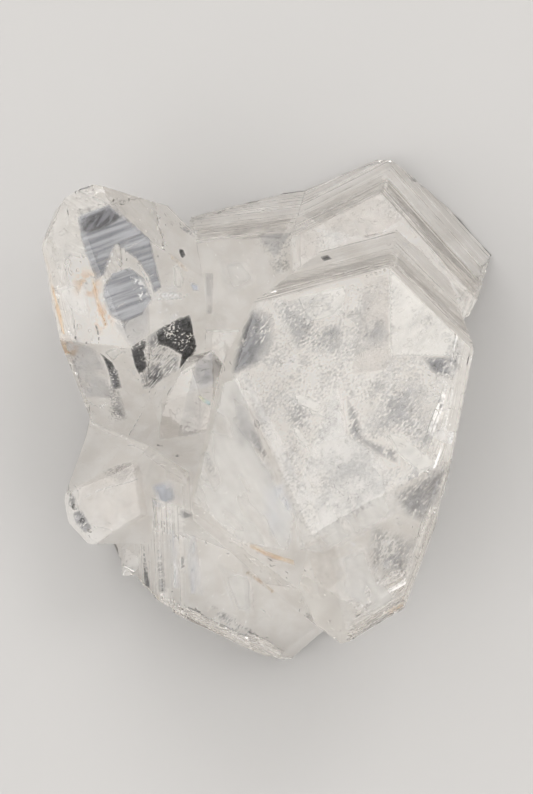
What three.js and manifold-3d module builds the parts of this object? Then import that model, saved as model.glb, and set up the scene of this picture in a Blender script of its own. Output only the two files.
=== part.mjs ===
// Quartz crystal cluster: several clear crystals grown into each other, cut off flat underneath,
// where they grew on rock. Millimetres, +Z up, resting on the flat cut at z = 0.
// Every crystal is the space inside its flat faces. A face is written as [compass, rise, reach]:
// the way it looks, in degrees round from +X and above level, and its distance from the
// crystal's middle in millimetres. Growth ledges run parallel to the edge with the face beside.
import * as THREE from 'three';
import { ConvexGeometry } from 'three/addons/geometries/ConvexGeometry.js';
import * as BufferGeometryUtils from 'three/addons/utils/BufferGeometryUtils.js';
import Module from 'manifold-3d';

const wasm = await Module();
wasm.setup();

const CLUSTER_REACH = 200; // longer than the cluster every way, for cutting tools
const BELOW_CUT = 6; // how far crystals run on below the flat cut before it is made
const POINT_SLOPE = 51.8; // angle between a quartz point's faces and the crystal's axis

// The big clear crystal on the right, its broad point face looking up.
const mainCrystal = {
  middle: [14, -2, 18],
  faces: {
    broadPoint: [44, 79, 19.5],
    leftPoint: [-165, 70, 27.7],
    lowerPoint: [-35, 64, 27.2],
    shoulder: [131, 73, 25.5],
    footPoint: [-124, 47, 41.6],
    upperBand: [101, 39, 26.7],
    rightBand: [43, 33, 27.2],
    upperLeftSide: [134, 9, 25.5],
    leftSide: [166, -3, 20.8],
    shoulderSide: [155, 1, 21.7],
    lowerLeftSide: [-173, -9, 26.5],
    frontLeftSide: [-131, -19, 28.2],
    frontSide: [-85, -29, 32],
    frontRightSide: [-61, -27, 28.5],
    lowerRightSide: [-19, -15, 17.9],
    rightSide: [-13, -10, 17.8],
    upperRightSide: [12, 1, 24.7],
  },
  ledges: [
    { face: 'upperBand', beside: 'broadPoint', pitch: 1.7, depth: 0.4 },
    { face: 'rightBand', beside: 'broadPoint', pitch: 1.9, depth: 0.45 },
    { face: 'rightSide', beside: 'broadPoint', pitch: 4, depth: 0.5 },
    { face: 'lowerRightSide', beside: 'lowerPoint', pitch: 3.5, depth: 0.5 },
    { face: 'frontRightSide', beside: 'lowerPoint', pitch: 3, depth: 0.45 },
  ],
};

// The tall crystal on the left, with its own six-sided point.
const leftCrystal = {
  middle: [-26, 14, 21],
  faces: {
    windowPoint: [-32, 68, 15.5],
    leftPoint: [-128, 56, 14.8],
    topPoint: [42, 77, 22.5],
    upperRightPoint: [28, 43, 18.8],
    rightPoint: [-13, 57, 15.8],
    sliverPoint: [164, 22, 21.6],
    frontRightSide: [-48, 31, 14.1],
    frontLeftSide: [-110, 24, 12.3],
    leftSide: [-175, -14, 8.8],
    upperLeftSide: [155, -1, 17.3],
    backLeftSide: [128, 4, 21.3],
    backMiddleSide: [113, 6, 23],
    backSide: [87, 5, 22],
    backRightSide: [48, 2, 21.2],
    rightSide: [6, -7, 13.7],
  },
  ledges: [
    { face: 'leftSide', beside: 'frontLeftSide', pitch: 3, depth: 0.35 },
    { face: 'backSide', beside: 'upperRightPoint', pitch: 2.6, depth: 0.5 },
    { face: 'backMiddleSide', beside: 'topPoint', pitch: 2.8, depth: 0.4 },
    { face: 'backRightSide', beside: 'upperRightPoint', pitch: 3, depth: 0.5 },
  ],
};

// The crystal behind the main one on the upper right, grown parallel to it.
const parallelCrystal = {
  middle: [18, 32, 7],
  faces: {
    palePoint: [24, 77, 12.4],
    upperBand: [113, 36, 13.1],
    outerBand: [38, 36, 13.5],
    leftSide: [-175, -12, 10],
    topSide: [116, -13, 19.5],
    outerSide: [57, -9, 21],
    rightSide: [-35, -19, 19],
    buriedSide: [-82, -29, 22.4],
  },
  ledges: [
    { face: 'upperBand', beside: 'palePoint', pitch: 1.5, depth: 0.5 },
    { face: 'outerBand', beside: 'palePoint', pitch: 1.6, depth: 0.5 },
    { face: 'topSide', beside: 'upperBand', pitch: 2.6, depth: 0.6 },
    { face: 'outerSide', beside: 'outerBand', pitch: 2.8, depth: 0.6 },
    { face: 'rightSide', beside: 'outerBand', pitch: 3, depth: 0.5 },
  ],
};

// The low crystal between the left one and the parallel one.
const backCrystal = {
  middle: [-4, 30, 5],
  faces: {
    palePoint: [116, 86, 13.4],
    rightPoint: [41, 67, 13.8],
    frontPoint: [-119, 73, 17.2],
    upperBand: [98, 38, 10.7],
    topSide: [114, -11, 14.7],
    leftSide: [-179, -7, 9.7],
    buriedSide: [-90, -26, 22.8],
    rightSide: [-2, -7, 14.3],
  },
  ledges: [
    { face: 'upperBand', beside: 'palePoint', pitch: 1.3, depth: 0.4 },
    { face: 'topSide', beside: 'upperBand', pitch: 2.2, depth: 0.5 },
  ],
};

// The mass that fills the valley between the left crystal and the main one.
const valleyMass = {
  middle: [-17, -1, 2],
  faces: {
    top: [-102, 65, 10.1],
    leftSlope: [-150, 55, 9.9],
    backSide: [89, 11, 18.6],
    leftSide: [166, -2, 15.7],
    buriedSide: [3, -8, 10.4],
    frontSide: [-89, -24, 17.1],
  },
  ledges: [],
};

// The small crystal that stands in the valley against the main one.
const valleyCrystal = {
  middle: [-14, 1, 15],
  faces: {
    front: [-110, 52, 7.1],
    leftSlope: [-171, 41, 7.9],
    leftSide: [150, 1, 6.5],
    upperSlope: [163, 52, 10.2],
    rightSlope: [-42, 44, 9.5],
    frontSide: [-92, 20, 7.2],
  },
  ledges: [],
};

// The broken chunk at the lower left.
const lowerLeftChunk = {
  middle: [-27, -15, 7],
  faces: {
    broadTop: [-115, 62, 14.2],
    backTop: [152, 62, 15],
    rightTop: [-52, 63, 16],
    frontTop: [-79, 35, 13.6],
    leftSide: [-174, -12, 6.8],
    frontLeftSide: [-141, -21, 6.1],
    frontSide: [-93, -30, 4],
    backLeftSide: [163, -4, 7.3],
    backSide: [60, 5, 9.4],
    buriedSide: [8, -11, 10.2],
  },
  ledges: [],
};

// The wide crystal along the bottom edge.
const bottomCrystal = {
  middle: [-8, -30, 5],
  faces: {
    broadTop: [-94, 56, 11.8],
    rightTop: [-53, 52, 12.7],
    innerTop: [-4, 51, 13.5],
    pillarTop: [-138, 44, 13.5],
    leftBand: [-164, 20, 14],
    leftSide: [-159, -16, 16],
    frontLeftSide: [-124, -27, 6.2],
    frontSide: [-120, -28, 5.4],
    rightBevel: [-52, 12, 17.2],
    rightSide: [-46, -26, 16.9],
    buriedSide: [67, 7, 8.1],
  },
  ledges: [
    { face: 'pillarTop', beside: 'broadTop', pitch: 2.2, depth: 0.5 },
    { face: 'leftBand', beside: 'pillarTop', pitch: 1.5, depth: 0.5 },
    { face: 'frontSide', beside: 'broadTop', pitch: 2.4, depth: 0.5 },
  ],
};

// The low rock-side mass that all the crystals grow out of, out of sight in the middle.
const rootMass = {
  middle: [-2, 4, 2],
  faces: {
    top: [-90, 86, 7.6],
    right: [0, -14, 18],
    backRight: [52, -14, 30],
    back: [95, -14, 30],
    backLeft: [140, -14, 26],
    left: [180, -14, 22],
    frontLeft: [-140, -14, 22],
    front: [-90, -14, 30],
    frontRight: [-45, -14, 26],
  },
  ledges: [],
};

const crystals = [
  mainCrystal, leftCrystal, parallelCrystal, backCrystal, valleyMass,
  valleyCrystal, lowerLeftChunk, bottomCrystal, rootMass,
];

// Small six-sided crystals that stand out of the big ones: foot is where the axis starts,
// tip the way it points, radius the distance of its six sides from the axis.
const smallCrystals = [
  { foot: [9, 29, 5], tip: [84, 74], radius: 4, length: 11, turn: 10 },
  { foot: [-27, 14, 5], tip: [172, 30], radius: 4.4, length: 8, turn: 40 },
  { foot: [-24, 24, 4], tip: [125, 30], radius: 4.8, length: 9, turn: 5 },
  { foot: [24, 6, 6], tip: [-5, 25], radius: 4.4, length: 10, turn: 30 },
  { foot: [20, -16, 6], tip: [-25, 30], radius: 4.2, length: 9, turn: 12 },
  { foot: [-28, -6, 8], tip: [140, 62], radius: 2, length: 6, turn: 50 },
  { foot: [-21, -22, 5], tip: [-130, 5], radius: 3.4, length: 8, turn: 35 },
];

// Shell-shaped breaks: scoops of the given radius out of the rim near the cut and a few edges.
const breaks = [
  { centre: [-42, -22, 10], radius: 6 },
  { centre: [-38, -29, 2], radius: 5 },
  { centre: [-21, -38, 1], radius: 6 },
  { centre: [4, -47, -1], radius: 7 },
  { centre: [30, -36, -2], radius: 8 },
  { centre: [38, -8, -3], radius: 8 },
  { centre: [41, 22, 0], radius: 7 },
  { centre: [8, 60, -3], radius: 8 },
  { centre: [-22, 46, 0], radius: 9 },
  { centre: [-42, 24, -2], radius: 8 },
  { centre: [-39, 2, -3], radius: 7 },
  { centre: [30.5, 49.5, 7.5], radius: 4 },
  { centre: [-1, 49, 9], radius: 2.4 },
];
const BREAK_DETAIL = 2; // facets of a break, as subdivisions of a ball
const BREAK_SQUASH = 0.6; // height of a break's scoop as a share of its width

/** The unit vector that looks along a compass direction and a rise, in degrees. */
function looking(compass, rise) {
  const round = THREE.MathUtils.degToRad(compass);
  const up = THREE.MathUtils.degToRad(rise);
  return new THREE.Vector3(
    Math.cos(up) * Math.cos(round),
    Math.cos(up) * Math.sin(round),
    Math.sin(up),
  );
}

/** A closed geometry as a solid that can be joined and cut. */
function solidOf(geometry) {
  const bare = geometry.clone();
  bare.deleteAttribute('normal');
  bare.deleteAttribute('uv');
  const welded = BufferGeometryUtils.mergeVertices(bare, 1e-5);
  return new wasm.Manifold(new wasm.Mesh({
    numProp: 3,
    vertProperties: new Float32Array(welded.attributes.position.array),
    triVerts: new Uint32Array(welded.index.array),
  }));
}

/** The corners where three of the planes meet and no other plane cuts them off. */
function cornersOf(planes) {
  const corners = [];
  const matrix = new THREE.Matrix3();
  for (let i = 0; i < planes.length; i += 1) {
    for (let j = i + 1; j < planes.length; j += 1) {
      for (let k = j + 1; k < planes.length; k += 1) {
        const [a, b, c] = [planes[i], planes[j], planes[k]];
        matrix.set(...a.normal.toArray(), ...b.normal.toArray(), ...c.normal.toArray());
        if (Math.abs(matrix.determinant()) < 1e-5) continue;
        const corner = new THREE.Vector3(-a.constant, -b.constant, -c.constant);
        corner.applyMatrix3(matrix.invert());
        const inside = planes.every((plane) => plane.distanceToPoint(corner) < 1e-5);
        const known = corners.some((other) => other.distanceTo(corner) < 1e-3);
        if (inside && !known) corners.push(corner);
      }
    }
  }
  return corners;
}

/** The plane of a face, seen from the crystal's middle. */
function facePlane(middle, normal, reach) {
  const point = middle.clone().addScaledVector(normal, reach);
  return new THREE.Plane().setFromNormalAndCoplanarPoint(normal, point);
}

/** A crystal as the solid inside its planes. */
function solidInside(planes) {
  return solidOf(new ConvexGeometry(cornersOf(planes)));
}

/** A repeatable stream of numbers between 0 and 1. */
function steadyRandom(seed) {
  let state = seed;
  return () => {
    state = (state * 16807) % 2147483647;
    return state / 2147483647;
  };
}

/** The toothed slab that cuts growth ledges into a face, parallel to its edge with another. */
function ledgeTool(middle, normal, reach, beside, { pitch, depth }, seed) {
  const random = steadyRandom(seed);
  const across = new THREE.Vector3().crossVectors(normal, beside).normalize();
  const uphill = new THREE.Vector3().crossVectors(across, normal);
  const half = CLUSTER_REACH / 4;
  const shape = new THREE.Shape();
  shape.moveTo(-half, 3);
  shape.lineTo(-half, 0);
  let at = -half;
  while (at < half) {
    const width = pitch * (0.5 + random());
    const drop = depth * (0.35 + 0.65 * random());
    shape.lineTo(at + width * 0.85, -drop);
    at += width;
    shape.lineTo(at, 0);
  }
  shape.lineTo(at, 3);
  const tool = new THREE.ExtrudeGeometry(shape, { depth: 2 * half, bevelEnabled: false });
  tool.translate(0, 0, -half);
  const frame = new THREE.Matrix4().makeBasis(uphill, normal, across.clone().negate());
  frame.setPosition(middle.clone().addScaledVector(normal, reach));
  tool.applyMatrix4(frame);
  return solidOf(tool);
}

/** One of the big crystals, with its growth ledges. */
function crystalSolid({ middle, faces, ledges }, index) {
  const centre = new THREE.Vector3(...middle);
  const planes = Object.values(faces).map(
    ([compass, rise, reach]) => facePlane(centre, looking(compass, rise), reach),
  );
  planes.push(facePlane(centre, looking(0, -90), middle[2] + BELOW_CUT));
  let solid = solidInside(planes);
  ledges.forEach((ledge, number) => {
    const [compass, rise, reach] = faces[ledge.face];
    const beside = looking(...faces[ledge.beside].slice(0, 2));
    const seed = 101 + 13 * index + number;
    const tool = ledgeTool(centre, looking(compass, rise), reach, beside, ledge, seed);
    solid = solid.subtract(tool);
  });
  return solid;
}

/** A small six-sided crystal with a six-faced point. */
function smallCrystalSolid({ foot, tip, radius, length, turn }) {
  const start = new THREE.Vector3(...foot);
  const axis = looking(...tip);
  const side = new THREE.Vector3().crossVectors(axis, new THREE.Vector3(0, 0, 1)).normalize();
  const slope = THREE.MathUtils.degToRad(POINT_SLOPE);
  const summit = start.clone().addScaledVector(axis, length);
  const planes = [facePlane(start, axis.clone().negate(), radius)];
  for (let number = 0; number < 6; number += 1) {
    const angle = THREE.MathUtils.degToRad(turn + 60 * number);
    const outward = side.clone().applyAxisAngle(axis, angle);
    planes.push(facePlane(start, outward, radius * (number % 3 === 1 ? 0.85 : 1)));
    const pointNormal = outward.clone().multiplyScalar(Math.sin(slope));
    pointNormal.addScaledVector(axis, Math.cos(slope));
    planes.push(facePlane(summit, pointNormal, number % 2 === 0 ? 0 : radius * 0.12));
  }
  return solidInside(planes);
}

/** The ball-like scoop that one shell-shaped break takes away. */
function breakSolid({ centre, radius }) {
  const scoop = new THREE.IcosahedronGeometry(radius, BREAK_DETAIL);
  scoop.scale(1, 1, BREAK_SQUASH);
  scoop.translate(...centre);
  return solidOf(scoop);
}

/** Everything below the flat cut. */
function belowCut() {
  const block = new THREE.BoxGeometry(CLUSTER_REACH, CLUSTER_REACH, CLUSTER_REACH);
  block.translate(0, 0, -CLUSTER_REACH / 2);
  return solidOf(block);
}

/** The whole cluster as one solid, its flat cut centred on the origin by its bounding box. */
function clusterGeometry() {
  const grown = [...crystals.map(crystalSolid), ...smallCrystals.map(smallCrystalSolid)];
  let solid = grown.reduce((whole, crystal) => whole.add(crystal));
  breaks.forEach((one) => {
    solid = solid.subtract(breakSolid(one));
  });
  solid = solid.subtract(belowCut());
  const { vertProperties, triVerts } = solid.getMesh();
  const geometry = new THREE.BufferGeometry();
  geometry.setAttribute('position', new THREE.BufferAttribute(vertProperties, 3));
  geometry.setIndex(new THREE.BufferAttribute(triVerts, 1));
  geometry.computeBoundingBox();
  const { min, max } = geometry.boundingBox;
  geometry.translate(-(min.x + max.x) / 2, -(min.y + max.y) / 2, -min.z);
  const faceted = geometry.toNonIndexed();
  faceted.computeVertexNormals();
  return faceted;
}

const clearQuartz = new THREE.MeshStandardMaterial({
  color: 0xd8d2c9,
  roughness: 0.08,
  metalness: 0,
  flatShading: true,
});

const cluster = new THREE.Mesh(clusterGeometry(), clearQuartz);
cluster.name = 'quartz_cluster';

const group = new THREE.Group();
group.add(cluster);

export default group;
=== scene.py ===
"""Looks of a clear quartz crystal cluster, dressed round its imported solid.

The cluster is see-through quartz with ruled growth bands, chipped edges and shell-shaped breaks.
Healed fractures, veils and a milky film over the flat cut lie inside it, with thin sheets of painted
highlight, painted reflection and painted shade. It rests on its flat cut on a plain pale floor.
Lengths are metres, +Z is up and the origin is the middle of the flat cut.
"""
import logging
import math
import random
from dataclasses import dataclass, field
from enum import Enum

import bmesh
import bpy
from mathutils import Matrix, Vector, noise
from mathutils.bvhtree import BVHTree


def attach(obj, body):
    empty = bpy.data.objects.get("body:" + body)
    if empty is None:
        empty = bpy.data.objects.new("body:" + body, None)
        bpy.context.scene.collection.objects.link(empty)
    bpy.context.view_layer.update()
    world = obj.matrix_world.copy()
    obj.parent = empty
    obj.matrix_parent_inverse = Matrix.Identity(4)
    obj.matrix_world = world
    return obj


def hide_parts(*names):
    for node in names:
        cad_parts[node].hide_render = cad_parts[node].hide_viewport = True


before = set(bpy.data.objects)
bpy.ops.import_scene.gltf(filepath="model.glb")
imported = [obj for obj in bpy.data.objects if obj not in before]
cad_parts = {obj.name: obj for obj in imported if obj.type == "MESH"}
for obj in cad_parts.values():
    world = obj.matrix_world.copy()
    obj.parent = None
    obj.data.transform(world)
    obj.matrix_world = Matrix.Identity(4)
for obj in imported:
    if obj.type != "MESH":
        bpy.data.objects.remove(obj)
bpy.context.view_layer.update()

CAD_NODE = "quartz_cluster"
BODY = "root"
MM = 0.001
QUARTZ_IOR = 1.544
FADE_AT_WALL = 0.5
LEAST_FADE = 0.02
OUTLINE_STEP = 0.7
NOISE_SEED = 11
STRAY_SCALE = 1.3
RIPPLE_SCALE = 0.16
RAY_STEP = 1e-7
CUT_TOLERANCE = 1e-7
SAME_LINE = 2e-6
PROBE_WAYS = ((0.13, 0.21, 0.97), (-0.31, 0.87, 0.12))

log = logging.getLogger("quartz_cluster")


@dataclass(frozen=True)
class Facing:
    """The way a face looks: degrees round from +X, and degrees above level."""

    compass: float
    rise: float

    def vector(self) -> Vector:
        """Returns the unit vector that looks this way."""
        round_, up = math.radians(self.compass), math.radians(self.rise)
        return Vector((math.cos(up) * math.cos(round_), math.cos(up) * math.sin(round_), math.sin(up)))


def millimetres(*values: float) -> Vector:
    """Returns a point given in millimetres as a vector in metres."""
    return Vector(values) * MM


@dataclass(frozen=True)
class Sight:
    """The photograph's viewpoint, for the camera and for details placed by how they show from it.

    Attributes:
        target: the point in the middle of the picture, in millimetres.
        azimuth: degrees round, 0 looks along +Y.
        elevation: degrees above level.
        distance: from the target, in millimetres.
        tall: height of the picture in the plane through the target, in millimetres.
    """

    target: tuple[float, float, float] = (-1.0, -2.9, 25.0)
    azimuth: float = 0.0
    elevation: float = 72.0
    distance: float = 800.0
    tall: float = 142.92

    def back(self) -> Vector:
        """Returns the unit vector from the target to the eye."""
        return Facing(self.azimuth - 90, self.elevation).vector()

    def eye(self) -> Vector:
        """Returns the eye, in metres."""
        return millimetres(*self.target) + self.back() * self.distance * MM

    def ray(self, across: float, up: float) -> Vector:
        """Returns the unit vector from the eye towards a place in the picture.

        Args:
            across: the place, in millimetres right of the target.
            up: in millimetres above it.

        Returns:
            The way that the eye looks.
        """
        right = Vector((0, 0, 1)).cross(self.back()).normalized()
        above = self.back().cross(right)
        place = millimetres(*self.target) + (right * across + above * up) * MM
        return (place - self.eye()).normalized()


SIGHT = Sight()


def bent(way: Vector, normal: Vector, ior: float) -> Vector:
    """Returns a ray's way after it has entered a see-through body.

    Args:
        way: its unit way before.
        normal: the surface's unit normal, towards the ray.
        ior: how strongly the body bends light.

    Returns:
        The unit way inside.
    """
    cosine = -way.dot(normal)
    inside = math.sqrt(1 - (1 - cosine ** 2) / ior ** 2)
    return way / ior + normal * (cosine / ior - inside)


class NodeTree:
    """A thin helper that adds nodes to a node tree and links them.

    Args:
        tree: the shader node tree to fill.
    """

    def __init__(self, tree: bpy.types.NodeTree) -> None:
        """Keeps the tree and empties it."""
        self.tree = tree
        tree.nodes.clear()

    def add(self, kind: str, settings: dict | None = None, **sockets: object) -> bpy.types.Node:
        """Adds a node.

        Args:
            kind: the node's type name.
            settings: node properties to set.
            **sockets: input name with _ for a space, to a value or to the output that feeds it.

        Returns:
            The new node.
        """
        node = self.tree.nodes.new(kind)
        for key, value in (settings or {}).items():
            setattr(node, key, value)
        for key, value in sockets.items():
            socket = node.inputs[int(key[1:])] if key[1:].isdigit() else node.inputs[key.replace("_", " ")]
            if isinstance(value, bpy.types.NodeSocket):
                self.tree.links.new(value, socket)
            else:
                socket.default_value = value
        return node

    def math(self, operation: str, first: object, second: object = 0.0) -> bpy.types.NodeSocket:
        """Adds a math node and returns its unclamped result."""
        return self.add("ShaderNodeMath", {"operation": operation}, i0=first, i1=second).outputs[0]

    def ramp(self, value: object, low: float, high: float, start: float = 0.0, end: float = 1.0
             ) -> bpy.types.NodeSocket:
        """Adds a smooth step of a value.

        Args:
            value: the socket to read.
            low: value at which the step starts.
            high: value at which it ends.
            start: result at and below low.
            end: result at and above high.

        Returns:
            The result's socket.
        """
        node = self.add("ShaderNodeMapRange", {"interpolation_type": "SMOOTHSTEP"}, Value=value)
        for name, number in (("From Min", low), ("From Max", high), ("To Min", start), ("To Max", end)):
            node.inputs[name].default_value = number
        return node.outputs["Result"]

    def noise(self, vector: object, scale: float, detail: float = 3.0, distortion: float = 0.0
              ) -> bpy.types.NodeSocket:
        """Adds a noise texture.

        Args:
            vector: the coordinates to read.
            scale: how fine it is.
            detail: how many finer layers it has.
            distortion: how much it is warped.

        Returns:
            The socket of its value.
        """
        node = self.add("ShaderNodeTexNoise", Vector=vector, Scale=scale, Detail=detail,
                        Distortion=distortion)
        return node.outputs["Fac"]

    def mix(self, share: object, first: object, second: object) -> bpy.types.NodeSocket:
        """Adds a colour mix.

        Args:
            share: how much of the second colour shows.
            first: colour or socket at share 0.
            second: colour or socket at share 1.

        Returns:
            The socket of the mixed colour.
        """
        node = self.add("ShaderNodeMix", {"data_type": "RGBA"})
        for place, value in ((0, share), (6, first), (7, second)):
            if isinstance(value, bpy.types.NodeSocket):
                self.tree.links.new(value, node.inputs[place])
            else:
                node.inputs[place].default_value = value
        return node.outputs[2]

    def stretched(self, vector: object, facing: Facing, along: float) -> bpy.types.NodeSocket:
        """Adds a mapping that turns the axes to a facing and stretches X, for textures drawn out in lines.

        Args:
            vector: the coordinates to map.
            facing: the way that the lines run.
            along: scale along the lines, below 1 to draw them out.

        Returns:
            The mapped coordinates.
        """
        turn = (0.0, -math.radians(facing.rise), math.radians(facing.compass))
        return self.add("ShaderNodeMapping", {"vector_type": "TEXTURE"}, Vector=vector, Rotation=turn,
                        Scale=(1.0 / along, 1.0, 1.0)).outputs[0]


def new_group(name: str, inputs: dict[str, float], outputs: dict[str, str]
              ) -> tuple[bpy.types.NodeTree, NodeTree, bpy.types.Node, bpy.types.Node]:
    """Makes an empty shader node group with a Vector input.

    Args:
        name: the group's name.
        inputs: names of the float inputs, with their values when nothing feeds them.
        outputs: names of the outputs, with their socket types.

    Returns:
        The group, the helper on it, its input node and its output node.
    """
    group = bpy.data.node_groups.new(name, "ShaderNodeTree")
    group.interface.new_socket(name="Vector", in_out="INPUT", socket_type="NodeSocketVector")
    for key, value in inputs.items():
        socket = group.interface.new_socket(name=key, in_out="INPUT", socket_type="NodeSocketFloat")
        socket.default_value = value
    for key, kind in outputs.items():
        group.interface.new_socket(name=key, in_out="OUTPUT", socket_type=kind)
    nodes = NodeTree(group)
    return group, nodes, nodes.add("NodeGroupInput"), nodes.add("NodeGroupOutput")


class SharedEffects:
    """The node groups that more than one material uses, each built once."""

    def __init__(self) -> None:
        """Builds the groups."""
        self.etching = self._etching()
        self.speckle = self._speckle()

    @staticmethod
    def _etching() -> bpy.types.NodeTree:
        """Returns the group for low growth hillocks, fine growth lines and etch pits as a height."""
        group, nodes, start, end = new_group(
            "growth etching",
            {"Hillocks": 1.0, "Lines": 1.0, "Pits": 1.0},
            {"Height": "NodeSocketFloat"},
        )
        place = start.outputs["Vector"]
        hillocks = nodes.noise(place, 160.0, 1.0)
        lines = nodes.noise(nodes.stretched(place, Facing(166, 8), 0.12), 1500.0, 0.0)
        pits = nodes.ramp(nodes.noise(place, 900.0, 0.0), 0.24, 0.36, -1.0, 0.0)
        total = nodes.math("MULTIPLY", hillocks, start.outputs["Hillocks"])
        total = nodes.math("ADD", total, nodes.math("MULTIPLY", lines, start.outputs["Lines"]))
        total = nodes.math("ADD", total, nodes.math("MULTIPLY", pits, start.outputs["Pits"]))
        nodes.tree.links.new(total, end.inputs["Height"])
        return group

    @staticmethod
    def _speckle() -> bpy.types.NodeTree:
        """Returns the group for the broken, speckled cover of the sheets as a mask: of healed fractures and
        of the patches of painted light and shade.
        """
        group, nodes, start, end = new_group(
            "healed speckle",
            {"Cover": 0.5, "Grain": 900.0, "Softness": 0.07},
            {"Mask": "NodeSocketFloat"},
        )
        place = start.outputs["Vector"]
        broad = nodes.noise(place, 240.0, 2.0)
        fine = nodes.add("ShaderNodeTexNoise", Vector=place, Scale=start.outputs["Grain"], Detail=2.0)
        both = nodes.math("ADD", nodes.math("MULTIPLY", broad, 0.5),
                          nodes.math("MULTIPLY", fine.outputs["Fac"], 0.5))
        level = nodes.math("SUBTRACT", 0.7, nodes.math("MULTIPLY", start.outputs["Cover"], 0.4))
        above = nodes.math("DIVIDE", nodes.math("SUBTRACT", both, level), start.outputs["Softness"])
        nodes.tree.links.new(nodes.ramp(above, -0.5, 0.5), end.inputs["Mask"])
        return group


@dataclass(frozen=True)
class QuartzFinish:
    """Clear natural quartz: see-through, glossy, faintly warm, with iron stains in its cracks."""

    ior: float = QUARTZ_IOR
    absorption_colour: tuple[float, float, float, float] = (0.80, 0.70, 0.57, 1.0)
    absorption_density: float = 2.5
    clear_colour: tuple[float, float, float, float] = (1.0, 0.995, 0.985, 1.0)
    stain_colour: tuple[float, float, float, float] = (0.86, 0.50, 0.22, 1.0)
    relief: float = 0.00006

    def make(self, effects: SharedEffects) -> bpy.types.Material:
        """Builds the material.

        Args:
            effects: the shared node groups.

        Returns:
            The quartz material.
        """
        material = bpy.data.materials.new("clear quartz")
        material.use_nodes = True
        nodes = NodeTree(material.node_tree)
        place = nodes.add("ShaderNodeTexCoord").outputs["Object"]
        stain = self._stain(nodes, place)
        frost = nodes.ramp(nodes.noise(place, 75.0, 2.0), 0.56, 0.72, 0.0, 0.16)
        roughness = nodes.math("ADD", nodes.math("MULTIPLY", stain, 0.35), nodes.math("ADD", frost, 0.015))
        etching = nodes.add("ShaderNodeGroup", {"node_tree": effects.etching}, Vector=place,
                            Hillocks=1.3, Lines=0.22, Pits=0.5)
        etched = nodes.add("ShaderNodeAttribute", {"attribute_name": "etched"}).outputs["Fac"]
        height = nodes.math("MULTIPLY", etching.outputs["Height"], etched)
        bump = nodes.add("ShaderNodeBump", Height=height, Strength=1.0, Distance=self.relief)
        shader = nodes.add("ShaderNodeBsdfPrincipled", Base_Color=nodes.mix(stain, self.clear_colour,
                           self.stain_colour), Roughness=roughness, Normal=bump.outputs["Normal"],
                           IOR=self.ior, Transmission_Weight=1.0)
        inside = nodes.add("ShaderNodeVolumeAbsorption", Color=self.absorption_colour,
                           Density=self.absorption_density)
        nodes.add("ShaderNodeOutputMaterial", Surface=shader.outputs[0], Volume=inside.outputs[0])
        return material

    @staticmethod
    def _stain(nodes: NodeTree, place: bpy.types.NodeSocket) -> bpy.types.NodeSocket:
        """Adds the mask of the orange iron stains, which lie along a few edges and cracks.

        Args:
            nodes: the material's node tree.
            place: the coordinates.

        Returns:
            The socket of the mask.
        """
        total: object = 0.0
        for centre, reach in IRON_STAINS:
            away = nodes.add("ShaderNodeVectorMath", {"operation": "DISTANCE"}, i0=place, i1=centre)
            near = nodes.ramp(away.outputs["Value"], reach, reach * 0.2)
            total = nodes.math("MAXIMUM", total, near)
        patchy = nodes.ramp(nodes.noise(place, 420.0, 2.0), 0.45, 0.6)
        return nodes.math("MULTIPLY", nodes.math("MULTIPLY", total, patchy), 0.8)


@dataclass(frozen=True)
class SheetFinish:
    """How a thin sheet inside the quartz shows: a real veil, stain or fracture, or a patch of painted
    highlight, reflection or shade.

    Attributes:
        light: tone of its bright grains.
        dark: tone of its dark grains.
        cover: share of the sheet that shows, 1 for all of it.
        strength: how strongly that share shows.
        grain: fineness of its speckle.
        softness: how softly the speckle ends.
        drawn: how far the speckle is drawn out in strokes, 1 for none.
        strokes: the way that the strokes run.
        open_gap: whether it is an open, see-through gap instead of a film.
        roughness: of its surface.
        relief: height of an open gap's grain, in metres.
    """

    light: tuple[float, float, float, float]
    dark: tuple[float, float, float, float]
    cover: float
    strength: float
    grain: float = 900.0
    softness: float = 0.07
    drawn: float = 1.0
    strokes: Facing = Facing(25, -12)
    open_gap: bool = False
    roughness: float = 0.5
    relief: float = 0.00015

    def make(self, name: str, effects: SharedEffects) -> bpy.types.Material:
        """Builds the material.

        Args:
            name: the material's name.
            effects: the shared node groups.

        Returns:
            The sheet's material.
        """
        material = bpy.data.materials.new(name)
        material.use_nodes = True
        nodes = NodeTree(material.node_tree)
        place = nodes.add("ShaderNodeTexCoord").outputs["Object"]
        drawn = nodes.stretched(place, self.strokes, 1.0 / self.drawn)
        speckle = nodes.add("ShaderNodeGroup", {"node_tree": effects.speckle}, Vector=drawn,
                            Cover=self.cover, Grain=self.grain, Softness=self.softness)
        fade = nodes.add("ShaderNodeAttribute", {"attribute_name": "fade"}).outputs["Fac"]
        alpha = nodes.math("MULTIPLY", nodes.math("MULTIPLY", speckle.outputs["Mask"], fade), self.strength)
        grain = nodes.noise(drawn, self.grain * 0.6, 3.0)
        tone = nodes.mix(nodes.ramp(grain, 0.35, 0.65), self.dark, self.light)
        sockets = {"Alpha": alpha, "Base_Color": tone, "Roughness": self.roughness}
        if self.open_gap:
            bump = nodes.add("ShaderNodeBump", Height=grain, Strength=1.0, Distance=self.relief)
            sockets |= {"IOR": QUARTZ_IOR, "Transmission_Weight": 1.0, "Normal": bump.outputs["Normal"]}
        shader = nodes.add("ShaderNodeBsdfPrincipled", **sockets)
        nodes.add("ShaderNodeOutputMaterial", Surface=shader.outputs[0])
        return material


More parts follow.
